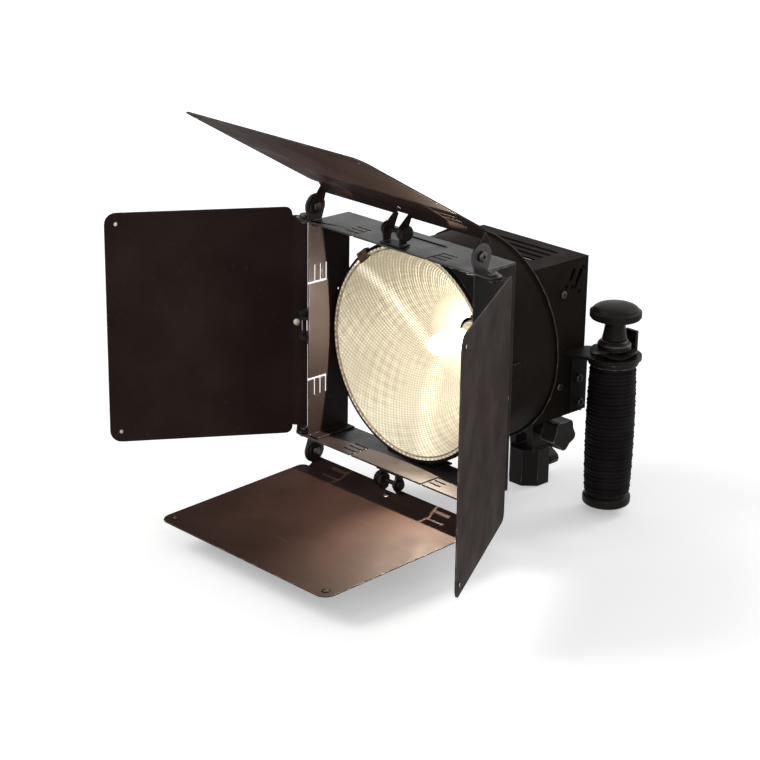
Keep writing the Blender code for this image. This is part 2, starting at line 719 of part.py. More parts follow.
def focus():
    """The focus screw runs through the rear cover to its knob."""
    front = DRUM_REAR + HOUSING_SHEET + 2 * GAP
    knob_front = HOUSING_REAR + GAP
    place = HEAD @ move(0, 0, -SCREW_DROP) @ ALONG_Y
    shaft = [(0, front), (SCREW_RADIUS, front), (SCREW_RADIUS, knob_front + KNOB_FOCUS_LENGTH / 2),
             (0, knob_front + KNOB_FOCUS_LENGTH / 2)]
    screw = steel("focus_screw", turned(shaft, place, 20))
    end = knob_front + KNOB_FOCUS_LENGTH
    outline = knob_outline(KNOB_FOCUS_RADIUS, 0.0008, 12)
    knob = make_object("focus_knob", plate(outline, [], knob_front, end, place), RUBBER, 0.5, 0.0)
    bore = [(0, knob_front - GAP), (SCREW_RADIUS + GAP, knob_front - GAP),
            (SCREW_RADIUS + GAP, knob_front + KNOB_FOCUS_LENGTH / 2 + GAP),
            (0, knob_front + KNOB_FOCUS_LENGTH / 2 + GAP)]
    combine(knob, turned(bore, place, 20), "DIFFERENCE")
    return [screw, knob]


def knob_outline(radius, depth, lobes):
    """A fluted outline that runs between two radii."""
    points = []
    count = lobes * 4 if lobes > 8 else lobes * 6
    for i in range(count):
        angle = math.tau * i / count
        r = radius - depth * (1 - math.cos(lobes * angle)) / 2
        points.append((r * math.cos(angle), r * math.sin(angle)))
    return points


def side_vents():
    """Round holes and slanted slots near the top rear corner of a housing side, in (back, up)."""
    top = HOUSING_HEIGHT / 2
    rear = HOUSING_REAR
    holes = [slot(rear - 0.0115, top - 0.017, 0.020, VENT_WIDTH, 62),
             slot(rear - 0.0190, top - 0.013, 0.012, VENT_WIDTH, 62)]
    for back, down in ((0.026, 0.022), (0.006, 0.009), (0.010, 0.029), (0.019, 0.0235)):
        holes.append(circle(rear - back, top - down, VENT_WIDTH / 2, 8))
    return holes


def housing_cover():
    """A folded cover: the top and both sides, vented."""
    x = (HOUSING_WIDTH - HOUSING_SHEET) / 2
    z = (HOUSING_HEIGHT - HOUSING_SHEET) / 2
    front = DRUM_REAR + GAP
    back = HOUSING_REAR - HOUSING_SHEET - GAP
    bm = bmesh.new()
    louvres = []
    for i in range(5):
        louvres.append(slot(0, front + 0.012 + i * 0.0095, HOUSING_WIDTH - 2 * LOUVRE_MARGIN, VENT_WIDTH, 0))
    fill_flat(bm, box_outline(-x, front, x, back), louvres, HEAD @ move(0, 0, z))
    for sign in (-1, 1):
        holes = side_vents() + side_screw_holes(sign)
        fill_flat(bm, box_outline(front, -z, back, z), holes, HEAD @ move(sign * x, 0, 0) @ PLANE_YZ)
    return folded(bm, "housing_cover", HOUSING_SHEET)


def chassis():
    """The housing's floor, with the front wall bent up from it behind the drum."""
    x = HOUSING_WIDTH / 2 - HOUSING_SHEET - GAP
    z = (HOUSING_HEIGHT - HOUSING_SHEET) / 2
    front = DRUM_REAR + GAP + HOUSING_SHEET / 2
    bm = bmesh.new()
    fill_flat(bm, box_outline(-x, front, x, HOUSING_REAR - HOUSING_SHEET - GAP), [], HEAD @ move(0, 0, -z))
    top = HOUSING_HEIGHT / 2 - HOUSING_SHEET - GAP
    fill_flat(bm, box_outline(-x, -z, x, top), [circle(0, 0, LAMP_OPENING, 28)],
              HEAD @ move(0, front, 0) @ PLANE_XZ)
    return folded(bm, "housing_chassis", HOUSING_SHEET)


def rear_cover():
    """The rear panel, with side flanges that the case screws hold inside the cover."""
    x = HOUSING_WIDTH / 2
    z = HOUSING_HEIGHT / 2
    holes = [circle(0, -SCREW_DROP, SCREW_RADIUS + HOLE_PLAY, 16),
             circle(gland_spot()[0], gland_spot()[1], GLAND_RADIUS * 0.6 + HOLE_PLAY, 20)]
    for i in range(4):
        holes.append(slot(0, z - 0.018 - i * 0.0095, HOUSING_WIDTH - 2 * REAR_SLOT_MARGIN, VENT_WIDTH, 0))
    ob = painted("rear_cover", plate(box_outline(-x, -z, x, z), holes, -HOUSING_REAR,
                                     -HOUSING_REAR + HOUSING_SHEET, HEAD @ PLANE_XZ))
    edge = x - HOUSING_SHEET - GAP
    flange = box_outline(HOUSING_REAR - REAR_FLANGE, REAR_FLANGE_MARGIN - z,
                         HOUSING_REAR - HOUSING_SHEET / 2, SCREW_SPOT_HEIGHT + SCREW_SPOT_EDGE)
    for sign in (-1, 1):
        low = min(sign * edge, sign * (edge - HOUSING_SHEET))
        combine(ob, plate(flange, side_screw_holes(sign), low, low + HOUSING_SHEET, HEAD @ PLANE_YZ))
    return ob


def side_screw_holes(sign):
    """Screw holes in a side wall, in (back, up): the case screws and, at +X, the bracket's."""
    spots = [(SCREW_SPOT_BACK, SCREW_SPOT_HEIGHT), (SCREW_SPOT_BACK, -SCREW_SPOT_HEIGHT)]
    if sign > 0:
        spots += bracket_screw_spots()
    return [circle(b, u, CASE_SCREW_SHANK / 2 + HOLE_PLAY, 10) for b, u in spots]


def gland_spot():
    return (HOUSING_WIDTH / 4, -HOUSING_HEIGHT / 2 + 0.018)


def bracket_screw_spots():
    return [(HOUSING_REAR - BRACKET_SCREW_BACK, PLATE_LEVEL - BRACKET_SCREW_DROP),
            (HOUSING_REAR - BRACKET_SCREW_BACK * 0.72, BRACKET_SCREW_RISE - HOUSING_HEIGHT / 2)]


def case_screw(depth):
    """Profile of a pan-head screw whose head rests at height 0."""
    shank = CASE_SCREW_SHANK / 2
    wide = CASE_SCREW_HEAD / 2
    return [(0, -depth), (shank, -depth), (shank, 0), (wide, 0), (wide, CASE_SCREW_HEAD_HEIGHT * 0.5),
            (wide * 0.7, CASE_SCREW_HEAD_HEIGHT), (0, CASE_SCREW_HEAD_HEIGHT)]


def case_screws():
    """Side screws through the cover and the rear cover's flanges."""
    depth = 2 * HOUSING_SHEET + 3 * GAP
    number = 0
    for sign in (-1, 1):
        for level in (SCREW_SPOT_HEIGHT, -SCREW_SPOT_HEIGHT):
            number += 1
            spot = move(sign * (HOUSING_WIDTH / 2 + GAP), SCREW_SPOT_BACK, level)
            bm = turned(case_screw(depth), HEAD @ spot @ turn(sign * 90, "Y"), 12)
            steel("case_screw_" + str(number), bm)


def gland():
    """The cord's gland in the rear cover, a bushing with a bore."""
    inside = HOUSING_REAR - HOUSING_SHEET - 0.004
    face = HOUSING_REAR + GAP
    end = face + GLAND_LENGTH
    neck = GLAND_RADIUS * 0.6
    profile = [(GLAND_BORE, inside), (neck, inside), (neck, face), (GLAND_RADIUS, face),
               (GLAND_RADIUS, face + GLAND_LENGTH * 0.5), (GLAND_RADIUS * 0.75, end), (GLAND_BORE, end)]
    x, z = gland_spot()
    bm = turned(profile, HEAD @ move(x, 0, z) @ ALONG_Y, 24, ring=True)
    return make_object("cord_gland", bm, RUBBER, 0.6, 0.0)


def grip_bracket():
    """An angle bracket: a flange screwed to the housing's side and a flat plate out to the grip."""
    wall = HOUSING_WIDTH / 2 + GAP
    low = PLATE_LEVEL - PLATE_THICK / 2
    slope = math.radians(-109)
    tangent = (GRIP_SIDE + PLATE_ROUND * math.cos(slope), GRIP_BACK + PLATE_ROUND * math.sin(slope))
    front = tangent[1] - (tangent[0] - wall) * math.tan(math.radians(19))
    outline = ([(wall, front)] + arc(GRIP_SIDE, GRIP_BACK, PLATE_ROUND, -109, 90, 18)
               + [(wall, HOUSING_REAR + HOUSING_SHEET)])
    hole = circle(GRIP_SIDE, GRIP_BACK, STUD_RADIUS + HOLE_PLAY, 20)
    bracket = painted("grip_bracket", plate(outline, [hole], low, low + PLATE_THICK, HEAD))
    side = box_outline(HOUSING_REAR - BRACKET_WIDTH, BRACKET_EDGE - HOUSING_HEIGHT / 2,
                       HOUSING_REAR + HOUSING_SHEET / 2, PLATE_LEVEL)
    holes = [circle(b, u, CASE_SCREW_SHANK / 2 + HOLE_PLAY, 12) for b, u in bracket_screw_spots()]
    combine(bracket, plate(side, holes, wall + PLATE_THICK / 20, wall + PLATE_THICK, HEAD @ PLANE_YZ))
    tab = block(head(GRIP_SIDE - 0.006, GRIP_BACK + PLATE_ROUND - PLATE_THICK * 1.1, PLATE_LEVEL),
                head(GRIP_SIDE + 0.006, GRIP_BACK + PLATE_ROUND - PLATE_THICK * 0.1, PLATE_LEVEL + 0.018))
    return combine(bracket, tab)


def bracket_screws():
    outer = HOUSING_WIDTH / 2 + GAP + PLATE_THICK + GAP
    depth = PLATE_THICK + 2 * HOUSING_SHEET + 4 * GAP
    for number, (b, u) in enumerate(bracket_screw_spots(), 1):
        bm = turned(case_screw(depth), HEAD @ move(outer, b, u) @ ALONG_X, 12)
        painted("bracket_screw_" + str(number), bm)


def grip():
    """The grip below the plate, its stud through the plate, and the clamp stack above."""
    place = HEAD @ move(GRIP_SIDE, GRIP_BACK, 0)
    bore = STUD_RADIUS + HOLE_PLAY
    washer_low = PLATE_LEVEL + PLATE_THICK / 2 + GAP
    jaw_low = washer_low + COLLAR_THICK + GAP
    jaw_top = jaw_low + JAW_HEIGHT
    ring("clamp_washer", bore, WASHER_RADIUS, washer_low, washer_low + COLLAR_THICK, place)
    jaw = [(bore, jaw_low), (JAW_RADIUS, jaw_low), (JAW_RADIUS, jaw_low + JAW_HEIGHT * 0.6),
           (JAW_RADIUS * 0.78, jaw_top), (bore, jaw_top)]
    painted("clamp_jaw", turned(jaw, place, 32, ring=True))
    under = PLATE_LEVEL - PLATE_THICK / 2 - GAP
    collar = ring("grip_collar", bore, COLLAR_RADIUS, under - COLLAR_THICK, under, place)
    core_top = under - COLLAR_THICK - GAP
    core_low = core_top - GRIP_LENGTH
    knob_low = jaw_top + GAP
    stud_top = knob_low + KNOB_NECK
    core = [(0, core_low), (CORE_RADIUS, core_low), (CORE_RADIUS, core_top), (STUD_RADIUS, core_top),
            (STUD_RADIUS, stud_top), (0, stud_top)]
    core_ob = steel("grip_core", turned(core, place, 28))
    end_top = core_low - GAP
    end_low = end_top - END_THICK
    end = [(0, end_low), (END_RADIUS * 0.86, end_low), (END_RADIUS, end_low + END_THICK * 0.3),
           (END_RADIUS, end_low + END_THICK * 0.62), (END_RADIUS * 0.84, end_top), (0, end_top)]
    end_ob = make_object("grip_end", turned(end, place, 32), RUBBER, 0.5, 0.0)
    sleeve = grip_sleeve(core_low, core_top, place)
    hang([collar, core_ob, sleeve, end_ob], "grip_axis", place @ move(0, 0, under))
    hang([clamp_knob(knob_low, stud_top, place)], "clamp_knob_axis", place @ move(0, 0, knob_low))


def grip_sleeve(low, high, place):
    """The rubber sleeve on the core."""
    inner = CORE_RADIUS + GAP
    outer = GRIP_RADIUS
    cut = GRIP_CHAMFER
    profile = [(inner, low), (outer - cut, low), (outer, low + cut), (outer, high - cut),
               (outer - cut, high), (inner, high)]
    return make_object("grip_sleeve", turned(profile, place, 36, ring=True), RUBBER, 0.7, 0.0)


def clamp_knob(low, stud_top, place):
    """A mushroom knob on a tapered neck, bored for the stud."""
    neck_top = low + KNOB_NECK
    bore = STUD_RADIUS + GAP
    profile = [(0, stud_top + GAP), (bore, stud_top + GAP), (bore, low), (KNOB_NECK_RADIUS, low),
               (KNOB_NECK_RADIUS * 0.72, neck_top), (KNOB_RADIUS * 0.92, neck_top),
               (KNOB_RADIUS, neck_top + KNOB_HEAD * 0.14), (KNOB_RADIUS, neck_top + KNOB_HEAD * 0.55)]
    for i in range(1, 5):
        angle = math.radians(18 * i)
        profile.append((KNOB_RADIUS * math.cos(angle),
                        neck_top + KNOB_HEAD * (0.55 + 0.45 * math.sin(angle))))
    profile.append((0, neck_top + KNOB_HEAD))
    return make_object("clamp_knob", turned(profile, place, 28), RUBBER, 0.4, 0.0)


TILT = Matrix.Translation((0, 0, TILT_HEIGHT))


def stand_socket():
    """A round socket for a stand spigot, with two cheeks for the tilt bolt."""
    across = SOCKET_OUTER / math.cos(math.radians(22.5))
    body = plate(arc(0, 0, across, 22.5, 337.5, 7), [], 0, SOCKET_HEIGHT, Matrix.Identity(4))
    ob = painted("stand_socket", body)
    inner = TONGUE_THICK / 2 + GAP
    foot = CHEEK_HEAD * 0.75
    outline = ([(-foot, SOCKET_HEIGHT - CHEEK_THICK), (foot, SOCKET_HEIGHT - CHEEK_THICK)]
               + arc(0, TILT_HEIGHT, CHEEK_HEAD, -20, 200, 14))
    hole = circle(0, TILT_HEIGHT, BOLT_RADIUS + HOLE_PLAY, 20)
    for sign in (-1, 1):
        low = min(sign * inner, sign * (inner + CHEEK_THICK))
        combine(ob, plate(outline, [hole], low, low + CHEEK_THICK, PLANE_YZ))
    bore = [(0, -GAP), (SPIGOT_RADIUS, -GAP), (SPIGOT_RADIUS, SPIGOT_DEPTH), (0, SPIGOT_DEPTH)]
    combine(ob, turned(bore, Matrix.Identity(4), 28), "DIFFERENCE")
    side = [(0, SPIGOT_RADIUS * 0.5), (SPIGOT_SCREW_RADIUS + HOLE_PLAY, SPIGOT_RADIUS * 0.5),
            (SPIGOT_SCREW_RADIUS + HOLE_PLAY, SOCKET_OUTER * 1.2), (0, SOCKET_OUTER * 1.2)]
    combine(ob, turned(side, move(0, 0, SPIGOT_SCREW_HEIGHT) @ ALONG_Y, 18), "DIFFERENCE")
    return ob


def tilt_tongue():
    """The head's tongue between the cheeks, with its foot under the housing floor."""
    floor = AXIS_HEIGHT - HOUSING_HEIGHT / 2 - GAP
    foot_low = floor - TONGUE_FOOT_THICK
    outline = ([(CHEEK_HEAD, foot_low + TONGUE_FOOT_THICK / 3), (-CHEEK_HEAD, foot_low + TONGUE_FOOT_THICK / 3)]
               + arc(0, TILT_HEIGHT, CHEEK_HEAD - 0.001, 180, 360, 14))
    hole = circle(0, TILT_HEIGHT, BOLT_RADIUS + HOLE_PLAY, 20)
    half = TONGUE_THICK / 2
    ob = painted("tilt_tongue", plate(outline, [hole], -half, half, PLANE_YZ))
    rear = HOUSING_REAR - PIVOT_BACK - HOUSING_SHEET
    return combine(ob, block((-TONGUE_THICK, rear - TONGUE_FOOT, foot_low),
                             (TONGUE_THICK, CHEEK_HEAD + 0.002, floor)))


def tilt_bolt():
    """A hex-head bolt through the cheeks and the tongue, threaded into the lock knob."""
    edge = TONGUE_THICK / 2 + GAP + CHEEK_THICK + GAP
    hexagon = circle(0, 0, BOLT_HEAD, 6)
    ob = steel("tilt_bolt", plate(hexagon, [], -edge - BOLT_HEAD_HEIGHT, -edge, TILT @ ALONG_X))
    end = edge + TILT_KNOB_HUB + TILT_KNOB_LENGTH * 0.6
    shank = [(0, -edge - BOLT_HEAD_HEIGHT / 2), (BOLT_RADIUS, -edge - BOLT_HEAD_HEIGHT / 2),
             (BOLT_RADIUS, end), (0, end)]
    return combine(ob, turned(shank, TILT @ ALONG_X, 20))


def lobed_knob(name, radius, length, lobes, depth, hub, bore, low, place):
    """A lobed knob on a round hub, bored over the hub and most of its head for its screw."""
    face = low + hub
    ob = make_object(name, plate(knob_outline(radius, depth, lobes), [], face, face + length, place),
                     RUBBER, 0.5, 0.0)
    if hub:
        neck = [(0, low), (radius * 0.5, low), (radius * 0.5, face + length / 3), (0, face + length / 3)]
        combine(ob, turned(neck, place, 20))
    hollow = [(0, low - GAP), (bore, low - GAP), (bore, face + length * 0.6 + GAP),
              (0, face + length * 0.6 + GAP)]
    return combine(ob, turned(hollow, place, 20), "DIFFERENCE")


def tilt_knob():
    edge = TONGUE_THICK / 2 + GAP + CHEEK_THICK + GAP
    knob = lobed_knob("tilt_knob", TILT_KNOB_RADIUS, TILT_KNOB_LENGTH, TILT_KNOB_LOBES, 0.003,
                      TILT_KNOB_HUB, BOLT_RADIUS + GAP, edge, TILT @ ALONG_X)
    hang([knob], "tilt_knob_axis", TILT)


def spigot_lock():
    """The screw that clamps a spigot in the socket, with its knob at the rear."""
    place = move(0, 0, SPIGOT_SCREW_HEIGHT) @ ALONG_Y
    tip = SPIGOT_RADIUS + GAP
    knob_low = SOCKET_OUTER + 2 * GAP
    profile = [(0, tip), (SPIGOT_SCREW_RADIUS, tip), (SPIGOT_SCREW_RADIUS, knob_low + SPIGOT_KNOB_LENGTH * 0.6),
               (0, knob_low + SPIGOT_KNOB_LENGTH * 0.6)]
    screw = steel("spigot_screw", turned(profile, place, 18))
    knob = lobed_knob("spigot_knob", SPIGOT_KNOB_RADIUS, SPIGOT_KNOB_LENGTH, 3, 0.0025, 0,
                      SPIGOT_SCREW_RADIUS + GAP, knob_low, place)
    hang([screw, knob], "spigot_lock_axis", move(0, 0, SPIGOT_SCREW_HEIGHT))


def main():
    clear_scene()
    for side in ("top", "bottom"):
        wide_strip(side)
    for side in ("left", "right"):
        narrow_strip(side)
    for side in LEAF_ORDER:
        clevis(side)
        make_leaf(side)
    hinge_screws()
    friction_screws()
    drum()
    reflector()
    rim_clips()
    moving = lamp() + [carriage()]
    hang(moving, "carriage_axis", HEAD @ move(0, CARRIAGE_BACK, -SCREW_DROP))
    rods()
    hang(focus(), "focus_axis", HEAD @ move(0, HOUSING_REAR, -SCREW_DROP))
    housing_cover()
    chassis()
    rear_cover()
    case_screws()
    gland()
    grip_bracket()
    bracket_screws()
    grip()
    stand_socket()
    tilt_tongue()
    tilt_bolt()
    tilt_knob()
    spigot_lock()
    bpy.context.view_layer.update()


main()
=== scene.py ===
import math

import bmesh
import bpy
from mathutils import Matrix, Vector


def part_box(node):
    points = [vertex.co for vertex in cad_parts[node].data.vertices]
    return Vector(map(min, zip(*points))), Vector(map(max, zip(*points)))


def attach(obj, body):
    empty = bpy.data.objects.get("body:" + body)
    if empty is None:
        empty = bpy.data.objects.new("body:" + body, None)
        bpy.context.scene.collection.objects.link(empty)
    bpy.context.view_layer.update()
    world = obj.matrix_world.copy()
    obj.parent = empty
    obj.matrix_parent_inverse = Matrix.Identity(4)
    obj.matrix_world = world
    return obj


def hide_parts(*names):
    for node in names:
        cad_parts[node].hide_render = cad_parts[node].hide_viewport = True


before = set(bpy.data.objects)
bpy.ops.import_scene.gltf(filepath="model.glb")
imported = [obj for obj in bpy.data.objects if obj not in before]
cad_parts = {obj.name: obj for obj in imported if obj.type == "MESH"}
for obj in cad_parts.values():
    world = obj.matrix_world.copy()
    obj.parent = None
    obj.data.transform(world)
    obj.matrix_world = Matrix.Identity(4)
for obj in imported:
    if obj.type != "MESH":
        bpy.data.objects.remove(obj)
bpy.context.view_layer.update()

scene = bpy.context.scene
head = {"front": -0.174, "axis": 0.150, "hingeOut": 0.107, "hingeBack": 0.007}
headPlace = Matrix.Translation((0, head["front"], head["axis"]))  # the beam's axis, at the frame's front
backward = Matrix.Rotation(math.radians(-90), 4, "X")  # a piece's own Z runs along +Y
sides = {"top": 0, "right": 90, "bottom": 180, "left": 270}  # degrees round the beam's axis
leafAngle = {"top": 30.0, "right": 30.7, "bottom": 2.3, "left": 32.9}  # out from straight ahead
leafOffset = {"bottom": 0.012, "left": 0.0142, "right": 0.0164, "top": 0.0186}  # so that shut leaves stack


def turnedAbout(axis, degrees):
    return Matrix.Rotation(math.radians(degrees), 4, axis)


def sidePlace(side):
    return headPlace @ turnedAbout("Y", sides[side])


def hingePlace(side):
    return sidePlace(side) @ Matrix.Translation((0, head["hingeBack"], head["hingeOut"]))


def newMaterial(name, colour, rough, metal=0.0):
    material = bpy.data.materials.new(name)
    material.use_nodes = True
    shader = material.node_tree.nodes["Principled BSDF"]
    shader.inputs["Base Color"].default_value = (*colour, 1)
    shader.inputs["Roughness"].default_value = rough
    shader.inputs["Metallic"].default_value = metal
    return material, material.node_tree, shader


def place(tree, stretch=(1, 1, 1), turn=(0, 0, 0)):
    coords = tree.nodes.new("ShaderNodeTexCoord")
    mapping = tree.nodes.new("ShaderNodeMapping")
    mapping.inputs["Scale"].default_value = stretch
    mapping.inputs["Rotation"].default_value = [math.radians(a) for a in turn]
    tree.links.new(coords.outputs["Object"], mapping.inputs["Vector"])
    return mapping.outputs["Vector"]


def noise(tree, scale, detail=3, rough=0.5, stretch=(1, 1, 1), turn=(0, 0, 0)):
    node = tree.nodes.new("ShaderNodeTexNoise")
    node.inputs["Scale"].default_value = scale
    node.inputs["Detail"].default_value = detail
    node.inputs["Roughness"].default_value = rough
    tree.links.new(place(tree, stretch, turn), node.inputs["Vector"])
    return node.outputs["Fac"]


def remap(tree, value, low, high, outLow=0.0, outHigh=1.0):
    node = tree.nodes.new("ShaderNodeMapRange")
    node.inputs["From Min"].default_value = low
    node.inputs["From Max"].default_value = high
    node.inputs["To Min"].default_value = outLow
    node.inputs["To Max"].default_value = outHigh
    tree.links.new(value, node.inputs["Value"])
    return node.outputs["Result"]


def maths(tree, operation, a, b=None):
    node = tree.nodes.new("ShaderNodeMath")
    node.operation = operation
    for socket, value in zip(node.inputs, (a, b)):
        if value is None:
            continue
        if isinstance(value, (int, float)):
            socket.default_value = value
        else:
            tree.links.new(value, socket)
    return node.outputs["Value"]


def product(tree, *values):
    result = values[0]
    for value in values[1:]:
        result = maths(tree, "MULTIPLY", result, value)
    return result


def mixColour(tree, factor, a, b):
    node = tree.nodes.new("ShaderNodeMix")
    node.data_type = "RGBA"
    for socket, value in ((node.inputs[0], factor), (node.inputs[6], a), (node.inputs[7], b)):
        if isinstance(value, tuple):
            socket.default_value = (*value, 1)
        elif isinstance(value, (int, float)):
            socket.default_value = value
        else:
            tree.links.new(value, socket)
    return node.outputs[2]


def bump(tree, shader, height, strength, distance):
    node = tree.nodes.new("ShaderNodeBump")
    node.inputs["Strength"].default_value = strength
    node.inputs["Distance"].default_value = distance
    tree.links.new(height, node.inputs["Height"])
    tree.links.new(node.outputs["Normal"], shader.inputs["Normal"])


paintLooks = {
    "leafPaint": {"colour": (0.0178, 0.0106, 0.0090), "tint": (0.0310, 0.0190, 0.0162),
                  "rough": 0.54, "sheen": 0.030, "grain": 1500, "depth": 0.00005, "scratch": 0.30, "dust": 0.30},
    "framePaint": {"colour": (0.0110, 0.0084, 0.0078), "tint": (0.0220, 0.0168, 0.0155),
                   "rough": 0.40, "sheen": 0.44, "grain": 1400, "depth": 0.00006, "scratch": 0.40, "dust": 0.25},
    # painted shade: a darker copy of framePaint for the frame's side strips
    "shadedStripPaint": {"colour": (0.0090, 0.0065, 0.0055), "tint": (0.0160, 0.0118, 0.0102),
                  "rough": 0.50, "sheen": 0.09, "grain": 1400, "depth": 0.00006, "scratch": 0.35, "dust": 0.22},
    "housingPaint": {"colour": (0.0078, 0.0054, 0.0043), "tint": (0.0140, 0.0098, 0.0080),
                     "rough": 0.54, "sheen": 0.025, "grain": 900, "depth": 0.00022, "scratch": 0.22, "dust": 0.20},
    "castPaint": {"colour": (0.0055, 0.0042, 0.0037), "tint": (0.0120, 0.0094, 0.0084),
                  "rough": 0.46, "sheen": 0.10, "grain": 700, "depth": 0.00020, "scratch": 0.25, "dust": 0.20},
}
paintWear = {"rubColour": (0.060, 0.045, 0.038), "rubRough": 0.12, "dustColour": (0.10, 0.085, 0.075),
             "patchScale": 14, "rubScale": 60, "dustScale": 900, "smearScale": 32,
             "smoother": 0.09, "rougher": 0.12, "bump": 0.6}


def makePaint(name):
    look = paintLooks[name]
    material, tree, shader = newMaterial(name, look["colour"], look["rough"])
    shader.inputs["Specular IOR Level"].default_value = look["sheen"]
    wear = paintWear
    patches = remap(tree, noise(tree, wear["patchScale"], 4), 0.35, 0.68)
    colour = mixColour(tree, patches, look["colour"], look["tint"])
    lines = noise(tree, wear["rubScale"], 2, 0.4, (0.5, 7, 5), (12, 31, 47))  # long thin rubs
    rubs = remap(tree, lines, 0.69, 0.74, 0.0, look["scratch"])
    colour = mixColour(tree, rubs, colour, wear["rubColour"])
    specks = remap(tree, noise(tree, wear["dustScale"], 1), 0.74, 0.80, 0.0, look["dust"])
    colour = mixColour(tree, specks, colour, wear["dustColour"])
    tree.links.new(colour, shader.inputs["Base Color"])
    smear = remap(tree, noise(tree, wear["smearScale"], 5, 0.6), 0.3, 0.7,
                  look["rough"] - wear["smoother"], look["rough"] + wear["rougher"])
    tree.links.new(maths(tree, "ADD", smear, product(tree, rubs, wear["rubRough"])), shader.inputs["Roughness"])
    bump(tree, shader, noise(tree, look["grain"], 2), wear["bump"], look["depth"])
    return material


edgeLook = {"painted": (0.016, 0.012, 0.010), "bare": (0.20, 0.165, 0.14), "metal": 0.85,
            "rough": 0.45, "bareRough": 0.30, "wearScale": 110, "grain": 1200, "depth": 0.00005}


def makeWornEdge():
    look = edgeLook
    material, tree, shader = newMaterial("wornEdge", look["painted"], look["rough"])
    bare = remap(tree, noise(tree, look["wearScale"], 4, 0.6), 0.53, 0.62)
    tree.links.new(mixColour(tree, bare, look["painted"], look["bare"]), shader.inputs["Base Color"])
    tree.links.new(product(tree, bare, look["metal"]), shader.inputs["Metallic"])
    tree.links.new(remap(tree, bare, 0, 1, look["rough"], look["bareRough"]), shader.inputs["Roughness"])
    bump(tree, shader, noise(tree, look["grain"], 2), 0.4, look["depth"])
    return material


metalLook = {"smudgeScale": 180, "smudgeRough": 0.22, "grain": 700, "depth": 0.00006}


def makeMetal(name, colour, rough, dirt):
    look = metalLook
    material, tree, shader = newMaterial(name, colour, rough, 1.0)
    smudge = remap(tree, noise(tree, look["smudgeScale"], 4, 0.6), 0.42, 0.70)
    tree.links.new(mixColour(tree, smudge, colour, dirt), shader.inputs["Base Color"])
    tree.links.new(remap(tree, smudge, 0, 1, rough, rough + look["smudgeRough"]), shader.inputs["Roughness"])
    bump(tree, shader, noise(tree, look["grain"], 3), 0.35, look["depth"])
    return material


plasticLook = {"sheen": 0.08, "handledScale": 45, "roughScale": 75, "roughSpread": 0.1}


def makePlastic(name, colour, rough, grain, depth):
    look = plasticLook
    material, tree, shader = newMaterial(name, colour, rough)
    shader.inputs["Specular IOR Level"].default_value = look["sheen"]
    pale = tuple(c * 1.8 + 0.003 for c in colour)
    handled = remap(tree, noise(tree, look["handledScale"], 4, 0.55), 0.42, 0.72)
    tree.links.new(mixColour(tree, handled, colour, pale), shader.inputs["Base Color"])
    spread = remap(tree, noise(tree, look["roughScale"], 3), 0.3, 0.7,
                   rough - look["roughSpread"], rough + look["roughSpread"])
    tree.links.new(spread, shader.inputs["Roughness"])
    bump(tree, shader, noise(tree, grain, 2), 0.5, depth)
    return material


bowl = {"focus": 0.0245, "apex": 0.100, "wall": 0.0008, "rimFront": 0.0246, "rimBack": 0.0256,
        "rim": 0.0912, "mouth": 0.0857, "hole": 0.0145,
        "dimplesRound": 116, "dimplePitch": 0.0036, "rowSlant": 0.8, "relief": 0.00013}
# the glow and hot keys paint the lamp's light into the reflector as emission: a hot spot round the axis and a faint
# glow over the whole bowl; this is painted light, not a second lamp
bowlLook = {"colour": (0.84, 0.79, 0.65), "tarnishAndShade": (0.52, 0.45, 0.32), "metal": 0.75,
            "rough": 0.30, "tarnishRough": 0.44, "tarnish": 0.35, "pitShade": 0.72,
            "depth": 0.00034, "ripplesRound": 32, "ripplePitch": 0.0115,
            "glow": 0.105, "hotFrom": 0.012, "hotSize": 0.038, "hotGlow": 1.8}
bowlPaintedStreaks = [  # painted highlights: streaks of the lamp's reflection, each given by the distance from the axis and angle of three points, in metres and degrees
    {"points": [(0.083, -47), (0.060, -68), (0.040, -112)], "width": 0.0066, "glow": 1.15},
    {"points": [(0.081, -190), (0.066, -171), (0.047, -150)], "width": 0.0070, "glow": 0.62},
]


def bowlReach(back):  # the bowl's inner radius at a distance behind the frame's front
    return min(math.sqrt(4 * bowl["focus"] * (bowl["apex"] - back)), bowl["mouth"])


def bowlPoint(reach, degrees):
    angle = math.radians(degrees)
    y = head["front"] + bowl["apex"] - reach ** 2 / (4 * bowl["focus"])
    return Vector((reach * math.sin(angle), y, head["axis"] + reach * math.cos(angle)))


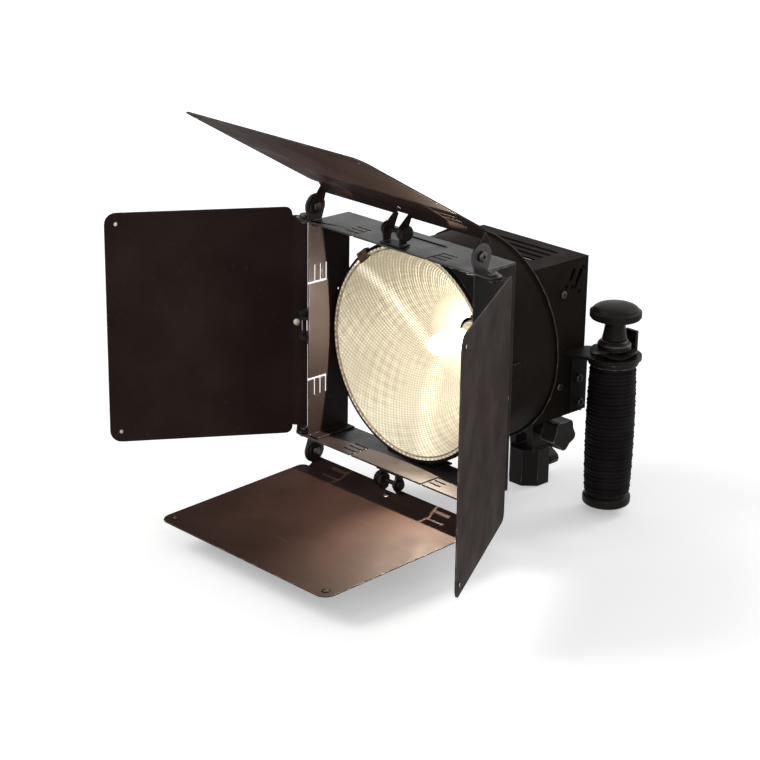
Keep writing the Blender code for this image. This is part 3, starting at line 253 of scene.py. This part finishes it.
def makeBowlMetal():
    look = bowlLook
    material, tree, shader = newMaterial("bowlMetal", look["colour"], look["rough"], look["metal"])
    coords = tree.nodes.new("ShaderNodeTexCoord")
    split = tree.nodes.new("ShaderNodeSeparateXYZ")
    tree.links.new(coords.outputs["Object"], split.inputs["Vector"])
    x, y, z = (split.outputs[axis] for axis in "XYZ")
    up = maths(tree, "SUBTRACT", z, head["axis"])
    angle = maths(tree, "ARCTAN2", x, up)
    radius = maths(tree, "SQRT", maths(tree, "ADD", product(tree, x, x), product(tree, up, up)))
    along = maths(tree, "SUBTRACT", radius, product(tree, y, bowl["rowSlant"]))

    def cells(count, pitch):
        across = maths(tree, "SINE", product(tree, angle, count))
        return product(tree, across, maths(tree, "SINE", product(tree, along, math.tau / pitch)))

    dimples = cells(bowl["dimplesRound"], bowl["dimplePitch"])
    patches = remap(tree, noise(tree, 22, 2), 0.44, 0.56)
    ripples = product(tree, cells(look["ripplesRound"], look["ripplePitch"]), patches)
    wander = maths(tree, "ADD", ripples, noise(tree, 520, 3))
    bump(tree, shader, maths(tree, "ADD", dimples, wander), 1.0, look["depth"])

    tarnish = remap(tree, noise(tree, 26, 5, 0.6), 0.40, 0.75, 0.0, look["tarnish"])
    colour = mixColour(tree, tarnish, look["colour"], look["tarnishAndShade"])
    # painted shade: the colour darkens in the dimple and ripple hollows, towards the same dark colour that the
    # tarnish above uses
    hollows = maths(tree, "ADD", dimples, product(tree, ripples, 0.9))
    paintedPitShade = remap(tree, hollows, -0.9, 0.6, look["pitShade"], 0.0)
    colour = mixColour(tree, paintedPitShade, colour, look["tarnishAndShade"])
    tree.links.new(colour, shader.inputs["Base Color"])
    dull = remap(tree, tarnish, 0, look["tarnish"], look["rough"], look["tarnishRough"])
    tree.links.new(dull, shader.inputs["Roughness"])

    # painted light: emission standing in for the lamp's light reflected in the bowl, brightest near the axis
    glow = remap(tree, radius, look["hotFrom"], look["hotSize"], look["hotGlow"], look["glow"])
    sparkle = remap(tree, maths(tree, "ADD", dimples, noise(tree, 700, 2)), -0.3, 1.3)
    for highlightStreak in bowlPaintedStreaks:  # painted highlight streaks, where the plane through the three points cuts the bowl
        first, middle, last = [bowlPoint(*point) for point in highlightStreak["points"]]
        normal = (middle - first).cross(last - first).normalized()
        dot = tree.nodes.new("ShaderNodeVectorMath")
        dot.operation = "DOT_PRODUCT"
        tree.links.new(coords.outputs["Object"], dot.inputs[0])
        dot.inputs[1].default_value = normal
        off = maths(tree, "ABSOLUTE", maths(tree, "SUBTRACT", dot.outputs["Value"], normal.dot(first)))
        near = remap(tree, off, 0, highlightStreak["width"], 1, 0)
        middleAngle = math.radians(highlightStreak["points"][1][1])
        facing = remap(tree, maths(tree, "COSINE", maths(tree, "SUBTRACT", angle, middleAngle)), 0.45, 0.75)
        glow = maths(tree, "ADD", glow, product(tree, near, facing, sparkle, highlightStreak["glow"]))
    tree.links.new(colour, shader.inputs["Emission Color"])
    tree.links.new(glow, shader.inputs["Emission Strength"])
    return material


lampLook = {"colour": (0.9, 0.88, 0.82), "glowColour": (1.0, 0.93, 0.80), "strength": 8.0,
            "filament": -0.104, "hotHalf": 0.006, "dimHalf": 0.022, "dim": 0.25}


def makeLampGlow():
    look = lampLook
    material, tree, shader = newMaterial("lampGlow", look["colour"], 0.15)
    split = tree.nodes.new("ShaderNodeSeparateXYZ")
    tree.links.new(place(tree), split.inputs["Vector"])
    off = maths(tree, "ABSOLUTE", maths(tree, "SUBTRACT", split.outputs["Y"], look["filament"]))
    hot = remap(tree, off, look["hotHalf"], look["dimHalf"], 1.0, look["dim"])
    tree.links.new(product(tree, hot, look["strength"]), shader.inputs["Emission Strength"])
    shader.inputs["Emission Color"].default_value = (*look["glowColour"], 1)
    return material


print("finishes")
finish = {name: makePaint(name) for name in paintLooks}
finish["edge"] = makeWornEdge()
finish["steel"] = makeMetal("platedSteel", (0.62, 0.59, 0.55), 0.24, (0.30, 0.26, 0.21))
finish["rivetSteel"] = makeMetal("rivetSteel", (0.50, 0.46, 0.41), 0.16, (0.20, 0.16, 0.13))
finish["darkSteel"] = makeMetal("darkSteel", (0.10, 0.09, 0.085), 0.36, (0.05, 0.04, 0.035))
finish["brownSteel"] = makeMetal("brownedSteel", (0.10, 0.065, 0.045), 0.36, (0.035, 0.022, 0.016))
# a tan metal used only as a painted highlight: the bright warm line along the bowl's rim
finish["tan"] = makeMetal("rimHighlightSteel", (0.42, 0.30, 0.18), 0.34, (0.16, 0.10, 0.07))
finish["aluminium"] = makeMetal("plainAluminium", (0.66, 0.66, 0.67), 0.32, (0.42, 0.41, 0.40))
finish["bowl"] = makeBowlMetal()
finish["lamp"] = makeLampGlow()
finish["ceramic"] = makePlastic("ceramic", (0.62, 0.58, 0.50), 0.62, 800, 0.00006)
finish["rubber"] = makePlastic("gripRubber", (0.0038, 0.0026, 0.0026), 0.68, 900, 0.0001)
finish["plastic"] = makePlastic("knobPlastic", (0.0100, 0.0074, 0.0062), 0.40, 1100, 0.00006)


def finishPiece(name, bm, body, materials, replaced=(), sharp=50):
    mesh = bpy.data.meshes.new(name)
    bm.to_mesh(mesh)
    bm.free()
    for material in materials:
        mesh.materials.append(material)
    mesh.shade_smooth()
    mesh.set_sharp_from_angle(angle=math.radians(sharp))
    ob = bpy.data.objects.new(name, mesh)
    scene.collection.objects.link(ob)
    weighted = ob.modifiers.new("flatFaces", "WEIGHTED_NORMAL")
    weighted.keep_sharp = True
    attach(ob, body)
    if replaced:
        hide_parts(*replaced)
    return ob


sheet = {"edge": 0.00022, "flatWithin": 1.5, "cornerFrom": 35}  # angles in degrees


def sheetCopy(node, body, material, edge=sheet["edge"], segments=2):
    bm = bmesh.new()
    bm.from_mesh(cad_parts[node].data)
    bmesh.ops.remove_doubles(bm, verts=bm.verts, dist=0.00001)
    bmesh.ops.dissolve_limit(bm, angle_limit=math.radians(sheet["flatWithin"]), verts=bm.verts, edges=bm.edges)
    corner = math.radians(sheet["cornerFrom"])
    edges = [e for e in bm.edges if len(e.link_faces) == 2 and e.calc_face_angle() > corner]
    for face in bm.faces:
        face.material_index = 0
    rounded = bmesh.ops.bevel(bm, geom=edges, offset=edge, offset_type="OFFSET", segments=segments,
                              profile=0.5, affect="EDGES", material=-1, clamp_overlap=True)
    for face in rounded["faces"]:
        face.material_index = 1
    return finishPiece(node + "_shown", bm, body, [finish[material], finish["edge"]], [node])


def turned(profile, matrix, steps=64, closed=False):
    bm = bmesh.new()
    verts = [bm.verts.new((r, 0, h)) for r, h in profile]
    edges = [bm.edges.new(pair) for pair in zip(verts, verts[1:])]
    if closed:
        edges.append(bm.edges.new((verts[-1], verts[0])))
    bmesh.ops.spin(bm, geom=verts + edges, cent=(0, 0, 0), axis=(0, 0, 1), angle=math.tau, steps=steps,
                   use_merge=True, use_duplicate=False)
    bmesh.ops.remove_doubles(bm, verts=bm.verts, dist=0.000001)
    bmesh.ops.recalc_face_normals(bm, faces=bm.faces)
    bmesh.ops.transform(bm, matrix=matrix, verts=bm.verts)
    return bm


def addTo(bm, other):
    mesh = bpy.data.meshes.new("joining")
    other.to_mesh(mesh)
    other.free()
    bm.from_mesh(mesh)
    bpy.data.meshes.remove(mesh)
    return bm


def arcPoints(centreR, centreH, radius, start, end, steps):
    angles = [math.radians(start + (end - start) * i / steps) for i in range(steps + 1)]
    return [(centreR + radius * math.cos(a), centreH + radius * math.sin(a)) for a in angles]


def everyOther(faces):  # every second face, counted round the piece's own Z
    def turn(face):
        middle = face.calc_center_median()
        return math.atan2(middle.y, middle.x)

    return sorted(faces, key=turn)[::2]


print("leaves")
rivet = {"radius": 0.0034, "height": 0.0008, "reach": 0.1535, "across": 0.0905, "cornerDome": 0.0019,
         "flangeDome": 0.0030, "lift": 0.00048, "under": 0.0002}
flange = {"start": 0.008, "rise": 0.005, "run": 0.012, "rivetAlong": 0.0039}


def rivetHead(matrix, dome):
    r = rivet["radius"]
    h = rivet["height"]
    low = -rivet["under"]
    brim = [(r, low), (r, h * 0.25), (r - 0.0002, h * 0.35)]
    if dome < r:
        brim.append((dome, h * 0.40))
    angles = [math.radians(a) for a in range(18, 90, 18)]
    crown = [(dome * math.cos(a), h * (0.40 + 0.60 * math.sin(a))) for a in angles]
    bm = turned([(0, low)] + brim + crown + [(0, h)], Matrix.Identity(4), 28)
    for face in bm.faces:  # the brim is painted over, the crown is bare
        face.material_index = int(face.calc_center_median().xy.length > dome or face.normal.z < 0)
    bmesh.ops.transform(bm, matrix=matrix, verts=bm.verts)
    return bm


def addRivet(heads, spot, dome):  # a head on each face of the sheet
    for flip, lift in ((0, rivet["lift"]), (180, -rivet["lift"])):
        face = spot @ Matrix.Translation((0, 0, lift)) @ turnedAbout("X", flip)
        addTo(heads, rivetHead(face, dome))


def leafRivets(side):
    heads = bmesh.new()
    hinge = hingePlace(side) @ turnedAbout("X", -leafAngle[side])
    for x in (-rivet["across"], rivet["across"]):
        corner = hinge @ Matrix.Translation((x, -rivet["reach"], leafOffset[side]))
        addRivet(heads, corner, rivet["cornerDome"])
    slope = Matrix.Rotation(-math.atan2(flange["rise"], flange["run"]), 4, "X")
    bend = hinge @ Matrix.Translation((0, -flange["start"], leafOffset[side]))
    addRivet(heads, bend @ slope @ Matrix.Translation((0, flange["rivetAlong"], 0)), rivet["flangeDome"])
    return heads


for side in sides:
    sheetCopy("leaf_" + side, "leaf_" + side, "leafPaint")
    finishPiece("leaf_rivets_" + side, leafRivets(side), "leaf_" + side,
                [finish["rivetSteel"], finish["leafPaint"]])


print("frame")
# the side strips get a darker copy of the frame paint as painted shade; the top and bottom strips keep the lighter
# framePaint
stripPaint = {"top": "framePaint", "right": "shadedStripPaint", "bottom": "framePaint", "left": "shadedStripPaint"}
for side in sides:
    sheetCopy("frame_" + side + "_strip", "head", stripPaint[side])
    sheetCopy("centre_hinge_" + side, "head", "castPaint", 0.0003)

hingeScrew = {"head": 0.0042, "height": 0.0024, "recess": 0.0015, "depth": 0.0013, "shank": 0.0019,
              "nut": 0.0036, "nutHeight": 0.0022, "inner": 0.0919, "outer": 0.0953, "round": 0.0012}


def hingeScrewShape(matrix):
    s = hingeScrew
    top = s["outer"] + s["height"]
    low = s["inner"] - s["nutHeight"]
    profile = ([(0, low), (s["nut"] * 0.86, low), (s["nut"], s["inner"] - s["nutHeight"] * 0.75),
                (s["nut"], s["inner"]), (s["shank"], s["inner"]), (s["shank"], s["outer"]), (s["head"], s["outer"])]
               + arcPoints(s["head"] - s["round"], top - s["round"], s["round"], 0, 90, 5)
               + [(s["recess"], top), (s["recess"] * 0.9, top - s["depth"]), (0, top - s["depth"])])
    return turned(profile, matrix, 32)


for side in sides:
    for sign, end in ((-1, "a"), (1, "b")):
        spot = hingePlace(side) @ turnedAbout("Y", 90 * sign)
        name = "hinge_screw_" + side + "_" + end
        finishPiece(name + "_shown", hingeScrewShape(spot), "head", [finish["darkSteel"]], [name])

frictionScrew = {"edge": 0.0102, "knob": 0.0064, "height": 0.0048, "nut": 0.0042, "nutHeight": 0.0022,
                 "shank": 0.0019, "round": 0.0016, "chamfer": 0.0006, "knurl": 0.00025}


def frictionShape(matrix):
    s = frictionScrew
    low = -s["edge"] - s["nutHeight"]
    high = s["edge"] + s["height"]
    bandLow = s["edge"] + s["chamfer"]
    bandTop = high - s["round"]
    profile = ([(0, low), (s["nut"] * 0.86, low), (s["nut"], low + 0.0005), (s["nut"], -s["edge"]),
                (s["shank"], -s["edge"]), (s["shank"], s["edge"]), (s["knob"] - s["chamfer"], s["edge"]),
                (s["knob"], bandLow), (s["knob"], bandTop)]
               + arcPoints(s["knob"] - s["round"], bandTop, s["round"], 20, 90, 5) + [(0, high + 0.0002)])
    bm = turned(profile, Matrix.Identity(4), 48)
    band = [f for f in bm.faces if abs(f.normal.z) < 0.2 and bandLow < f.calc_center_median().z < bandTop]
    bmesh.ops.inset_individual(bm, faces=everyOther(band), thickness=0.0001, depth=-s["knurl"])
    bmesh.ops.transform(bm, matrix=matrix, verts=bm.verts)
    return bm


for side in sides:
    spot = hingePlace(side) @ turnedAbout("Y", 90)
    name = "friction_screw_" + side
    finishPiece(name + "_shown", frictionShape(spot), "head", [finish["plastic"]], [name])


print("drum, bowl and lamp")
for node in ("drum_shell", "drum_back"):
    sheetCopy(node, "head", "housingPaint", 0.0003)
for number in (1, 2):
    sheetCopy("reflector_clip_" + str(number), "head", "brownSteel", 0.0002)

rimBands = {"rimHighlightFrom": 0.0001, "rimHighlightTo": 0.0010, "lipShadeFrom": 0.0030}  # distances out from the mouth: a tan band as a painted highlight along the rim, then black housing paint as painted shade for the drum lip behind
bowlRows = {"samples": 6000, "front": 0.0010, "perDimple": 4, "outerEvery": 5}


def bowlInside():  # points down the inner wall, a quarter of a dimple apart
    first = bowl["rimFront"] + bowlRows["front"]
    last = bowl["apex"] - bowl["hole"] ** 2 / (4 * bowl["focus"])
    step = bowl["dimplePitch"] / bowlRows["perDimple"]
    points = []
    row = None
    for i in range(bowlRows["samples"] + 1):
        back = first + (last - first) * i / bowlRows["samples"]
        reach = bowlReach(back)
        here = round((reach - (back + head["front"]) * bowl["rowSlant"]) / step - 0.5)
        if here != row or i == bowlRows["samples"]:
            points.append((reach, back))
        row = here
    return points


def dimpleShift(vert):
    spot = headPlace.inverted() @ vert.co
    reach = spot.xz.length
    if not bowl["rimFront"] + 0.0012 <= spot.y < bowl["apex"] or abs(reach - bowlReach(spot.y)) > 0.0002:
        return None  # on the rim, or the outer wall
    turn = math.atan2(vert.co.x, vert.co.z - head["axis"])
    row = (reach - vert.co.y * bowl["rowSlant"]) * math.tau / bowl["dimplePitch"]
    return vert.normal * bowl["relief"] * math.sin(turn * bowl["dimplesRound"]) * math.sin(row)


def bowlShape():
    front, mouth, wall = bowl["rimFront"], bowl["mouth"], bowl["wall"]
    rim = [(bowl["rim"], front + 0.0003), (bowl["rim"] - 0.0003, front), (mouth + 0.0032, front),
           (mouth + 0.0013, front), (mouth, front + 0.0008)]
    inside = bowlInside()
    thinned = [inside[-1], *inside[-3:1:-bowlRows["outerEvery"]], inside[0]]
    outside = [(r + wall, back + wall * 0.4) for r, back in thinned]
    profile = rim + inside + outside + [(mouth + wall, bowl["rimBack"]), (bowl["rim"], bowl["rimBack"])]
    bm = turned(profile, headPlace @ backward, bowl["dimplesRound"] * bowlRows["perDimple"], closed=True)
    bm.normal_update()
    shifts = [(vert, dimpleShift(vert)) for vert in bm.verts]
    for vert, shift in shifts:
        if shift is not None:
            vert.co += shift
    for face in bm.faces:
        outward = (headPlace.inverted() @ face.calc_center_median()).xz.length - mouth
        # painted shade: the bowl's outer rim gets the black housing paint, standing in for the drum lip behind it
        # and its shade
        if outward > rimBands["lipShadeFrom"]:
            face.material_index = 1
        # painted highlight: a thin tan metal band along the mouth for the bright warm line on the rim
        elif rimBands["rimHighlightFrom"] < outward < rimBands["rimHighlightTo"]:
            face.material_index = 2
    return bm


finishPiece("bowl", bowlShape(), "head", [finish["bowl"], finish["housingPaint"], finish["tan"]],
            ["reflector"])

lamp = {"radius": 0.0088, "front": 0.0502, "pinch": 0.0864, "base": 0.0964, "collar": 0.0081, "chamfer": 0.0006}


def lampGlass():
    r = lamp["radius"]
    pinch = lamp["pinch"]
    tip = [(r * math.sin(a), lamp["front"] + r * (1 - math.cos(a))) for a in map(math.radians, range(10, 91, 10))]
    neck = [(r, pinch - r * 0.6), (r * 0.9, pinch - r * 0.35), (r * 0.6, pinch - 0.0003), (0, pinch - 0.0003)]
    return turned([(0, lamp["front"])] + tip + neck, headPlace @ backward, 48)


def lampBase():
    r, low, top, chamfer = lamp["collar"], lamp["pinch"], lamp["base"], lamp["chamfer"]
    profile = [(0, low), (r - chamfer, low), (r, low + chamfer), (r, top - chamfer), (r - chamfer, top), (0, top)]
    return turned(profile, headPlace @ backward, 40)


lampPiece = finishPiece("lampGlass", lampGlass(), "carriage", [finish["lamp"]], ["lamp_bulb"], 40)
finishPiece("lampBase", lampBase(), "carriage", [finish["ceramic"]], ["lamp_bulb"])
sheetCopy("lamp_holder", "carriage", "ceramic", 0.0006)
sheetCopy("lamp_carriage", "carriage", "framePaint", 0.0003)
sheetCopy("guide_rods", "head", "steel", 0.0003)
sheetCopy("focus_screw", "focus", "steel", 0.0003)


print("housing")
for node in ("housing_cover", "housing_chassis", "rear_cover"):
    sheetCopy(node, "head", "housingPaint", 0.0003)
sheetCopy("cord_gland", "head", "rubber", 0.0005)
sheetCopy("focus_knob", "focus", "plastic", 0.0006)
caseScrew = {"shank": 0.0015, "head": 0.0033, "height": 0.0016, "recess": 0.0011, "round": 0.0009}


def caseScrewShape(node, direction):
    low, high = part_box(node)
    middle = (Vector(low) + Vector(high)) / 2
    outer = high[0] if direction > 0 else low[0]
    length = high[0] - low[0]
    s = caseScrew
    profile = ([(0, -length), (s["shank"], -length), (s["shank"], -s["height"]), (s["head"], -s["height"])]
               + arcPoints(s["head"] - s["round"], -s["round"], s["round"], 0, 90, 4)
               + [(s["recess"], 0), (s["recess"] * 0.9, -s["round"]), (0, -s["round"])])
    spot = Matrix.Translation((outer, middle.y, middle.z)) @ turnedAbout("Y", 90 * direction)
    return turned(profile, spot, 28)


for name, direction, slot in (("case_screw_1", -1, "plated_steel"), ("case_screw_2", -1, "plated_steel"),
                              ("case_screw_3", 1, "plated_steel"), ("case_screw_4", 1, "plated_steel"),
                              ("bracket_screw_1", 1, "black_paint"), ("bracket_screw_2", 1, "black_paint")):
    finishPiece(name + "_shown", caseScrewShape(name, direction), "head", [finish["darkSteel"]], [name])


print("grip")
gripAxis = Matrix.Translation((0.090, -0.001, 0.150))
sheetCopy("grip_bracket", "head", "castPaint", 0.0005)
sheetCopy("clamp_jaw", "head", "castPaint", 0.0008)
sheetCopy("grip_collar", "grip", "castPaint", 0.0008)
sheetCopy("grip_core", "grip", "aluminium", 0.0003)
sleeve = {"top": -0.0186, "length": 0.113, "endRadius": 0.0188, "swell": 0.0018, "inner": 0.0138, "ribs": 33,
          "depth": 0.0013, "crown": 0.0004, "uneven": 0.00022}


def sleeveShape():
    top = sleeve["top"]
    low = top - sleeve["length"]
    pitch = sleeve["length"] / sleeve["ribs"]
    outer = []
    for i in range(sleeve["ribs"]):
        start = low + pitch * i
        along = math.sin(math.pi * (i + 0.5) / sleeve["ribs"])
        crest = sleeve["endRadius"] + sleeve["swell"] * math.sqrt(along) + sleeve["uneven"] * math.sin(i * 2.3)
        shoulder = crest - sleeve["crown"]
        outer += [(crest - sleeve["depth"], start + pitch * 0.02), (shoulder, start + pitch * 0.22),
                  (crest, start + pitch * 0.5), (shoulder, start + pitch * 0.78)]
    outer.append((sleeve["endRadius"] - sleeve["depth"], top))
    return turned([(sleeve["inner"], low)] + outer + [(sleeve["inner"], top)], gripAxis, 64, closed=True)


finishPiece("gripSleeve", sleeveShape(), "grip", [finish["rubber"]], ["grip_sleeve"], 60)
gripEnd = {"top": -0.1319, "thick": 0.0115, "radius": 0.0203, "lowRound": 0.0030, "topRound": 0.0020}


def gripEndShape():
    r = gripEnd["radius"]
    top = gripEnd["top"]
    low = top - gripEnd["thick"]
    lowRound, topRound = gripEnd["lowRound"], gripEnd["topRound"]
    profile = ([(0, low + 0.0008), (r * 0.3, low + 0.0003), (r - 0.0035, low)]
               + arcPoints(r - lowRound, low + 0.0035, lowRound, -80, 0, 5)
               + [(r, top - 0.0045)] + arcPoints(r - topRound, top - 0.0045, topRound, 10, 80, 4)
               + [(r * 0.84, top - 0.0016), (r * 0.83, top), (0, top)])
    return turned(profile, gripAxis, 72)


finishPiece("gripEnd", gripEndShape(), "grip", [finish["plastic"]], ["grip_end"])
waveWasher = {"outer": 0.0195, "inner": 0.0056, "thick": 0.0018, "wave": 0.00125, "crests": 4, "turn": 0.6,
              "middle": -0.00795, "edge": 0.0005, "rings": 6}


def waveWasherShape():
    w = waveWasher
    rim = w["outer"] - w["edge"]
    rings = [w["inner"] + (rim - w["inner"]) * i / w["rings"] for i in range(w["rings"] + 1)]
    profile = ([(r, w["thick"] / 2) for r in rings] + [(w["outer"], 0.0004), (w["outer"], -0.0004)]
               + [(r, -w["thick"] / 2) for r in reversed(rings)])
    bm = turned(profile, Matrix.Identity(4), 96, closed=True)
    for vert in bm.verts:
        reach = (vert.co.xy.length - w["inner"]) / (w["outer"] - w["inner"])
        around = math.atan2(vert.co.y, vert.co.x)
        vert.co.z += w["wave"] * reach * math.sin(w["crests"] * around + w["turn"])
    bmesh.ops.translate(bm, vec=(0, 0, w["middle"]), verts=bm.verts)
    bmesh.ops.transform(bm, matrix=gripAxis, verts=bm.verts)
    return bm


finishPiece("waveWasher", waveWasherShape(), "head", [finish["castPaint"]], ["clamp_washer"])
knob = {"low": 0.0029, "neck": 0.0175, "neckRadius": 0.0105, "radius": 0.0215, "head": 0.0135, "bore": 0.0053,
        "stud": 0.0207, "knurls": 56, "knurl": 0.0004}


def clampKnobShape():
    k = knob
    r, neck, low = k["radius"], k["neckRadius"], k["low"]
    neckTop = low + k["neck"]
    ringLow = neckTop + k["head"] * 0.16
    ringTop = neckTop + k["head"] * 0.50
    domeLow = ringTop + 0.0012
    top = neckTop + k["head"]
    stem = [(0, k["stud"]), (k["bore"], k["stud"]), (k["bore"], low), (neck - 0.0006, low), (neck, low + 0.0008),
            (neck * 0.88, low + k["neck"] * 0.4), (neck * 0.76, neckTop - 0.002), (neck * 0.84, neckTop - 0.0003)]
    ring = [(r * 0.86, neckTop), (r * 0.95, neckTop + 0.0008), (r - 0.0004, ringLow), (r - 0.0004, ringTop),
            (r * 0.93, ringTop + 0.0010), (r * 0.90, domeLow)]
    angles = [math.radians(a) for a in range(10, 90, 10)]
    dome = [(r * 0.89 * math.cos(a), domeLow + (top - domeLow) * math.sin(a)) for a in angles]
    bm = turned(stem + ring + dome + [(0, top)], Matrix.Identity(4), k["knurls"] * 2)
    middles = [(face, face.calc_center_median()) for face in bm.faces]
    band = [face for face, middle in middles if ringLow < middle.z < ringTop and middle.xy.length > r * 0.9]
    bmesh.ops.inset_individual(bm, faces=everyOther(band), thickness=0.00012, depth=k["knurl"])
    bmesh.ops.transform(bm, matrix=gripAxis, verts=bm.verts)
    return bm


finishPiece("clampKnob", clampKnobShape(), "clamp_knob", [finish["plastic"]], ["clamp_knob"], 35)


print("stand socket")
sheetCopy("stand_socket", "base", "castPaint", 0.0008, 3)
sheetCopy("tilt_tongue", "head", "castPaint", 0.0006)
sheetCopy("tilt_bolt", "base", "steel", 0.0004)
sheetCopy("tilt_knob", "tilt_knob", "plastic", 0.0012, 3)
sheetCopy("spigot_screw", "spigot_lock", "steel", 0.0003)
sheetCopy("spigot_knob", "spigot_lock", "plastic", 0.0010, 3)


print("floor, light and camera")
studio = {"floorSize": 12, "floorLevel": -0.0006, "floorColour": (0.86, 0.86, 0.86), "floorGlow": 0.35,
          "farGlow": 1.0, "farFrom": 0.9, "farTo": 2.6, "world": 0.48}


def seenRays(tree):  # 1 for what the camera, mirrors and glass see, 0 for the light that falls on the object
    rays = tree.nodes.new("ShaderNodeLightPath")
    both = maths(tree, "MAXIMUM", rays.outputs["Is Camera Ray"], rays.outputs["Is Glossy Ray"])
    return maths(tree, "MAXIMUM", both, rays.outputs["Is Transmission Ray"])


def makeFloor():
    bm = bmesh.new()
    bmesh.ops.create_grid(bm, x_segments=1, y_segments=1, size=studio["floorSize"] / 2)
    bmesh.ops.translate(bm, vec=(0, 0, studio["floorLevel"]), verts=bm.verts)
    mesh = bpy.data.meshes.new("floor")
    bm.to_mesh(mesh)
    bm.free()
    material, tree, shader = newMaterial("paleFloor", studio["floorColour"], 0.9)
    shader.inputs["Emission Color"].default_value = (1, 1, 1, 1)
    away = tree.nodes.new("ShaderNodeVectorMath")
    away.operation = "LENGTH"
    tree.links.new(place(tree), away.inputs[0])
    glow = remap(tree, away.outputs["Value"], studio["farFrom"], studio["farTo"],
                 studio["floorGlow"], studio["farGlow"])
    tree.links.new(product(tree, seenRays(tree), glow), shader.inputs["Emission Strength"])
    mesh.materials.append(material)
    ob = bpy.data.objects.new("floor", mesh)
    scene.collection.objects.link(ob)


def makeWorld():
    world = bpy.data.worlds.new("paleStudio")
    world.use_nodes = True
    tree = world.node_tree
    background = tree.nodes["Background"]
    background.inputs["Color"].default_value = (1, 1, 1, 1)
    strength = remap(tree, seenRays(tree), 0, 1, studio["world"], 1.0)
    tree.links.new(strength, background.inputs["Strength"])
    scene.world = world


def aimAt(ob, spot, target):
    ob.rotation_euler = (Vector(target) - Vector(spot)).to_track_quat("-Z", "Y").to_euler()


softLights = [
    {"name": "keyLight", "spot": (-1.6, -2.2, 2.6), "aim": (0, -0.1, 0.15), "size": 1.8, "power": 56},
    {"name": "fillLight", "spot": (2.4, -1.6, 1.6), "aim": (0, -0.1, 0.15), "size": 2.2, "power": 20},
    {"name": "rimLight", "spot": (0.6, 2.4, 2.0), "aim": (0, 0, 0.15), "size": 1.6, "power": 22},
]


def makeSoftLight(soft):
    light = bpy.data.lights.new(soft["name"], "AREA")
    light.shape = "DISK"
    light.size = soft["size"]
    light.energy = soft["power"]
    ob = bpy.data.objects.new(soft["name"], light)
    scene.collection.objects.link(ob)
    ob.location = soft["spot"]
    aimAt(ob, soft["spot"], soft["aim"])


lampSpot = (0, -0.1262, head["axis"])
lampSize = 0.004
lampBeams = [  # the lit lamp's own light, each on chosen pieces: none falls on the left leaf
    {"name": "lampOnFrame", "power": 3.5, "colour": (1.0, 0.82, 0.66),
     "on": ["frame_%s_strip_shown" % side for side in sides]},
    {"name": "lampOnLeaves", "power": 2.7, "colour": (1.0, 0.72, 0.55),
     "on": ["leaf_top_shown", "leaf_bottom_shown", "leaf_right_shown"]},
    {"name": "lampAside", "power": 11.5, "colour": (1.0, 0.85, 0.67), "on": ["leaf_bottom_shown"],
     "aim": (0.145, -0.255, 0.025), "cone": 82},
]


def makeLampBeam(beam):
    light = bpy.data.lights.new(beam["name"], "SPOT" if "aim" in beam else "POINT")
    light.shadow_soft_size = lampSize
    light.energy = beam["power"]
    light.color = beam["colour"]
    ob = bpy.data.objects.new(beam["name"], light)
    scene.collection.objects.link(ob)
    ob.parent = lampPiece
    ob.location = lampSpot
    if "aim" in beam:
        light.spot_size = math.radians(beam["cone"])
        light.spot_blend = 1.0
        aimAt(ob, lampSpot, beam["aim"])
    receivers = bpy.data.collections.new(beam["name"])
    for name in beam["on"]:
        receivers.objects.link(scene.objects[name])
    ob.light_linking.receiver_collection = receivers


camera = {"spot": (1.1933, -1.3178, 0.7351), "azimuth": 46.24, "elevation": 20.3, "roll": 0.88,
          "lens": 103.86, "sensor": 36, "shiftX": -0.0068, "shiftY": 0.0150}


def makeCamera():
    az, el, roll = (math.radians(camera[key]) for key in ("azimuth", "elevation", "roll"))
    right = Vector((math.cos(az), math.sin(az), 0))
    back = Vector((math.sin(az) * math.cos(el), -math.cos(az) * math.cos(el), math.sin(el)))
    up = back.cross(right)
    across = right * math.cos(roll) + up * math.sin(roll)
    upright = up * math.cos(roll) - right * math.sin(roll)
    data = bpy.data.cameras.new("photoView")
    data.sensor_width = camera["sensor"]
    data.lens = camera["lens"]
    data.shift_x = camera["shiftX"]
    data.shift_y = camera["shiftY"]
    ob = bpy.data.objects.new("photoView", data)
    scene.collection.objects.link(ob)
    turn = Matrix((across, upright, back)).transposed().to_4x4()
    ob.matrix_world = Matrix.Translation(camera["spot"]) @ turn
    scene.camera = ob


makeFloor()
makeWorld()
for soft in softLights:
    makeSoftLight(soft)
for beam in lampBeams:
    makeLampBeam(beam)
makeCamera()
scene.view_settings.view_transform = "Standard"
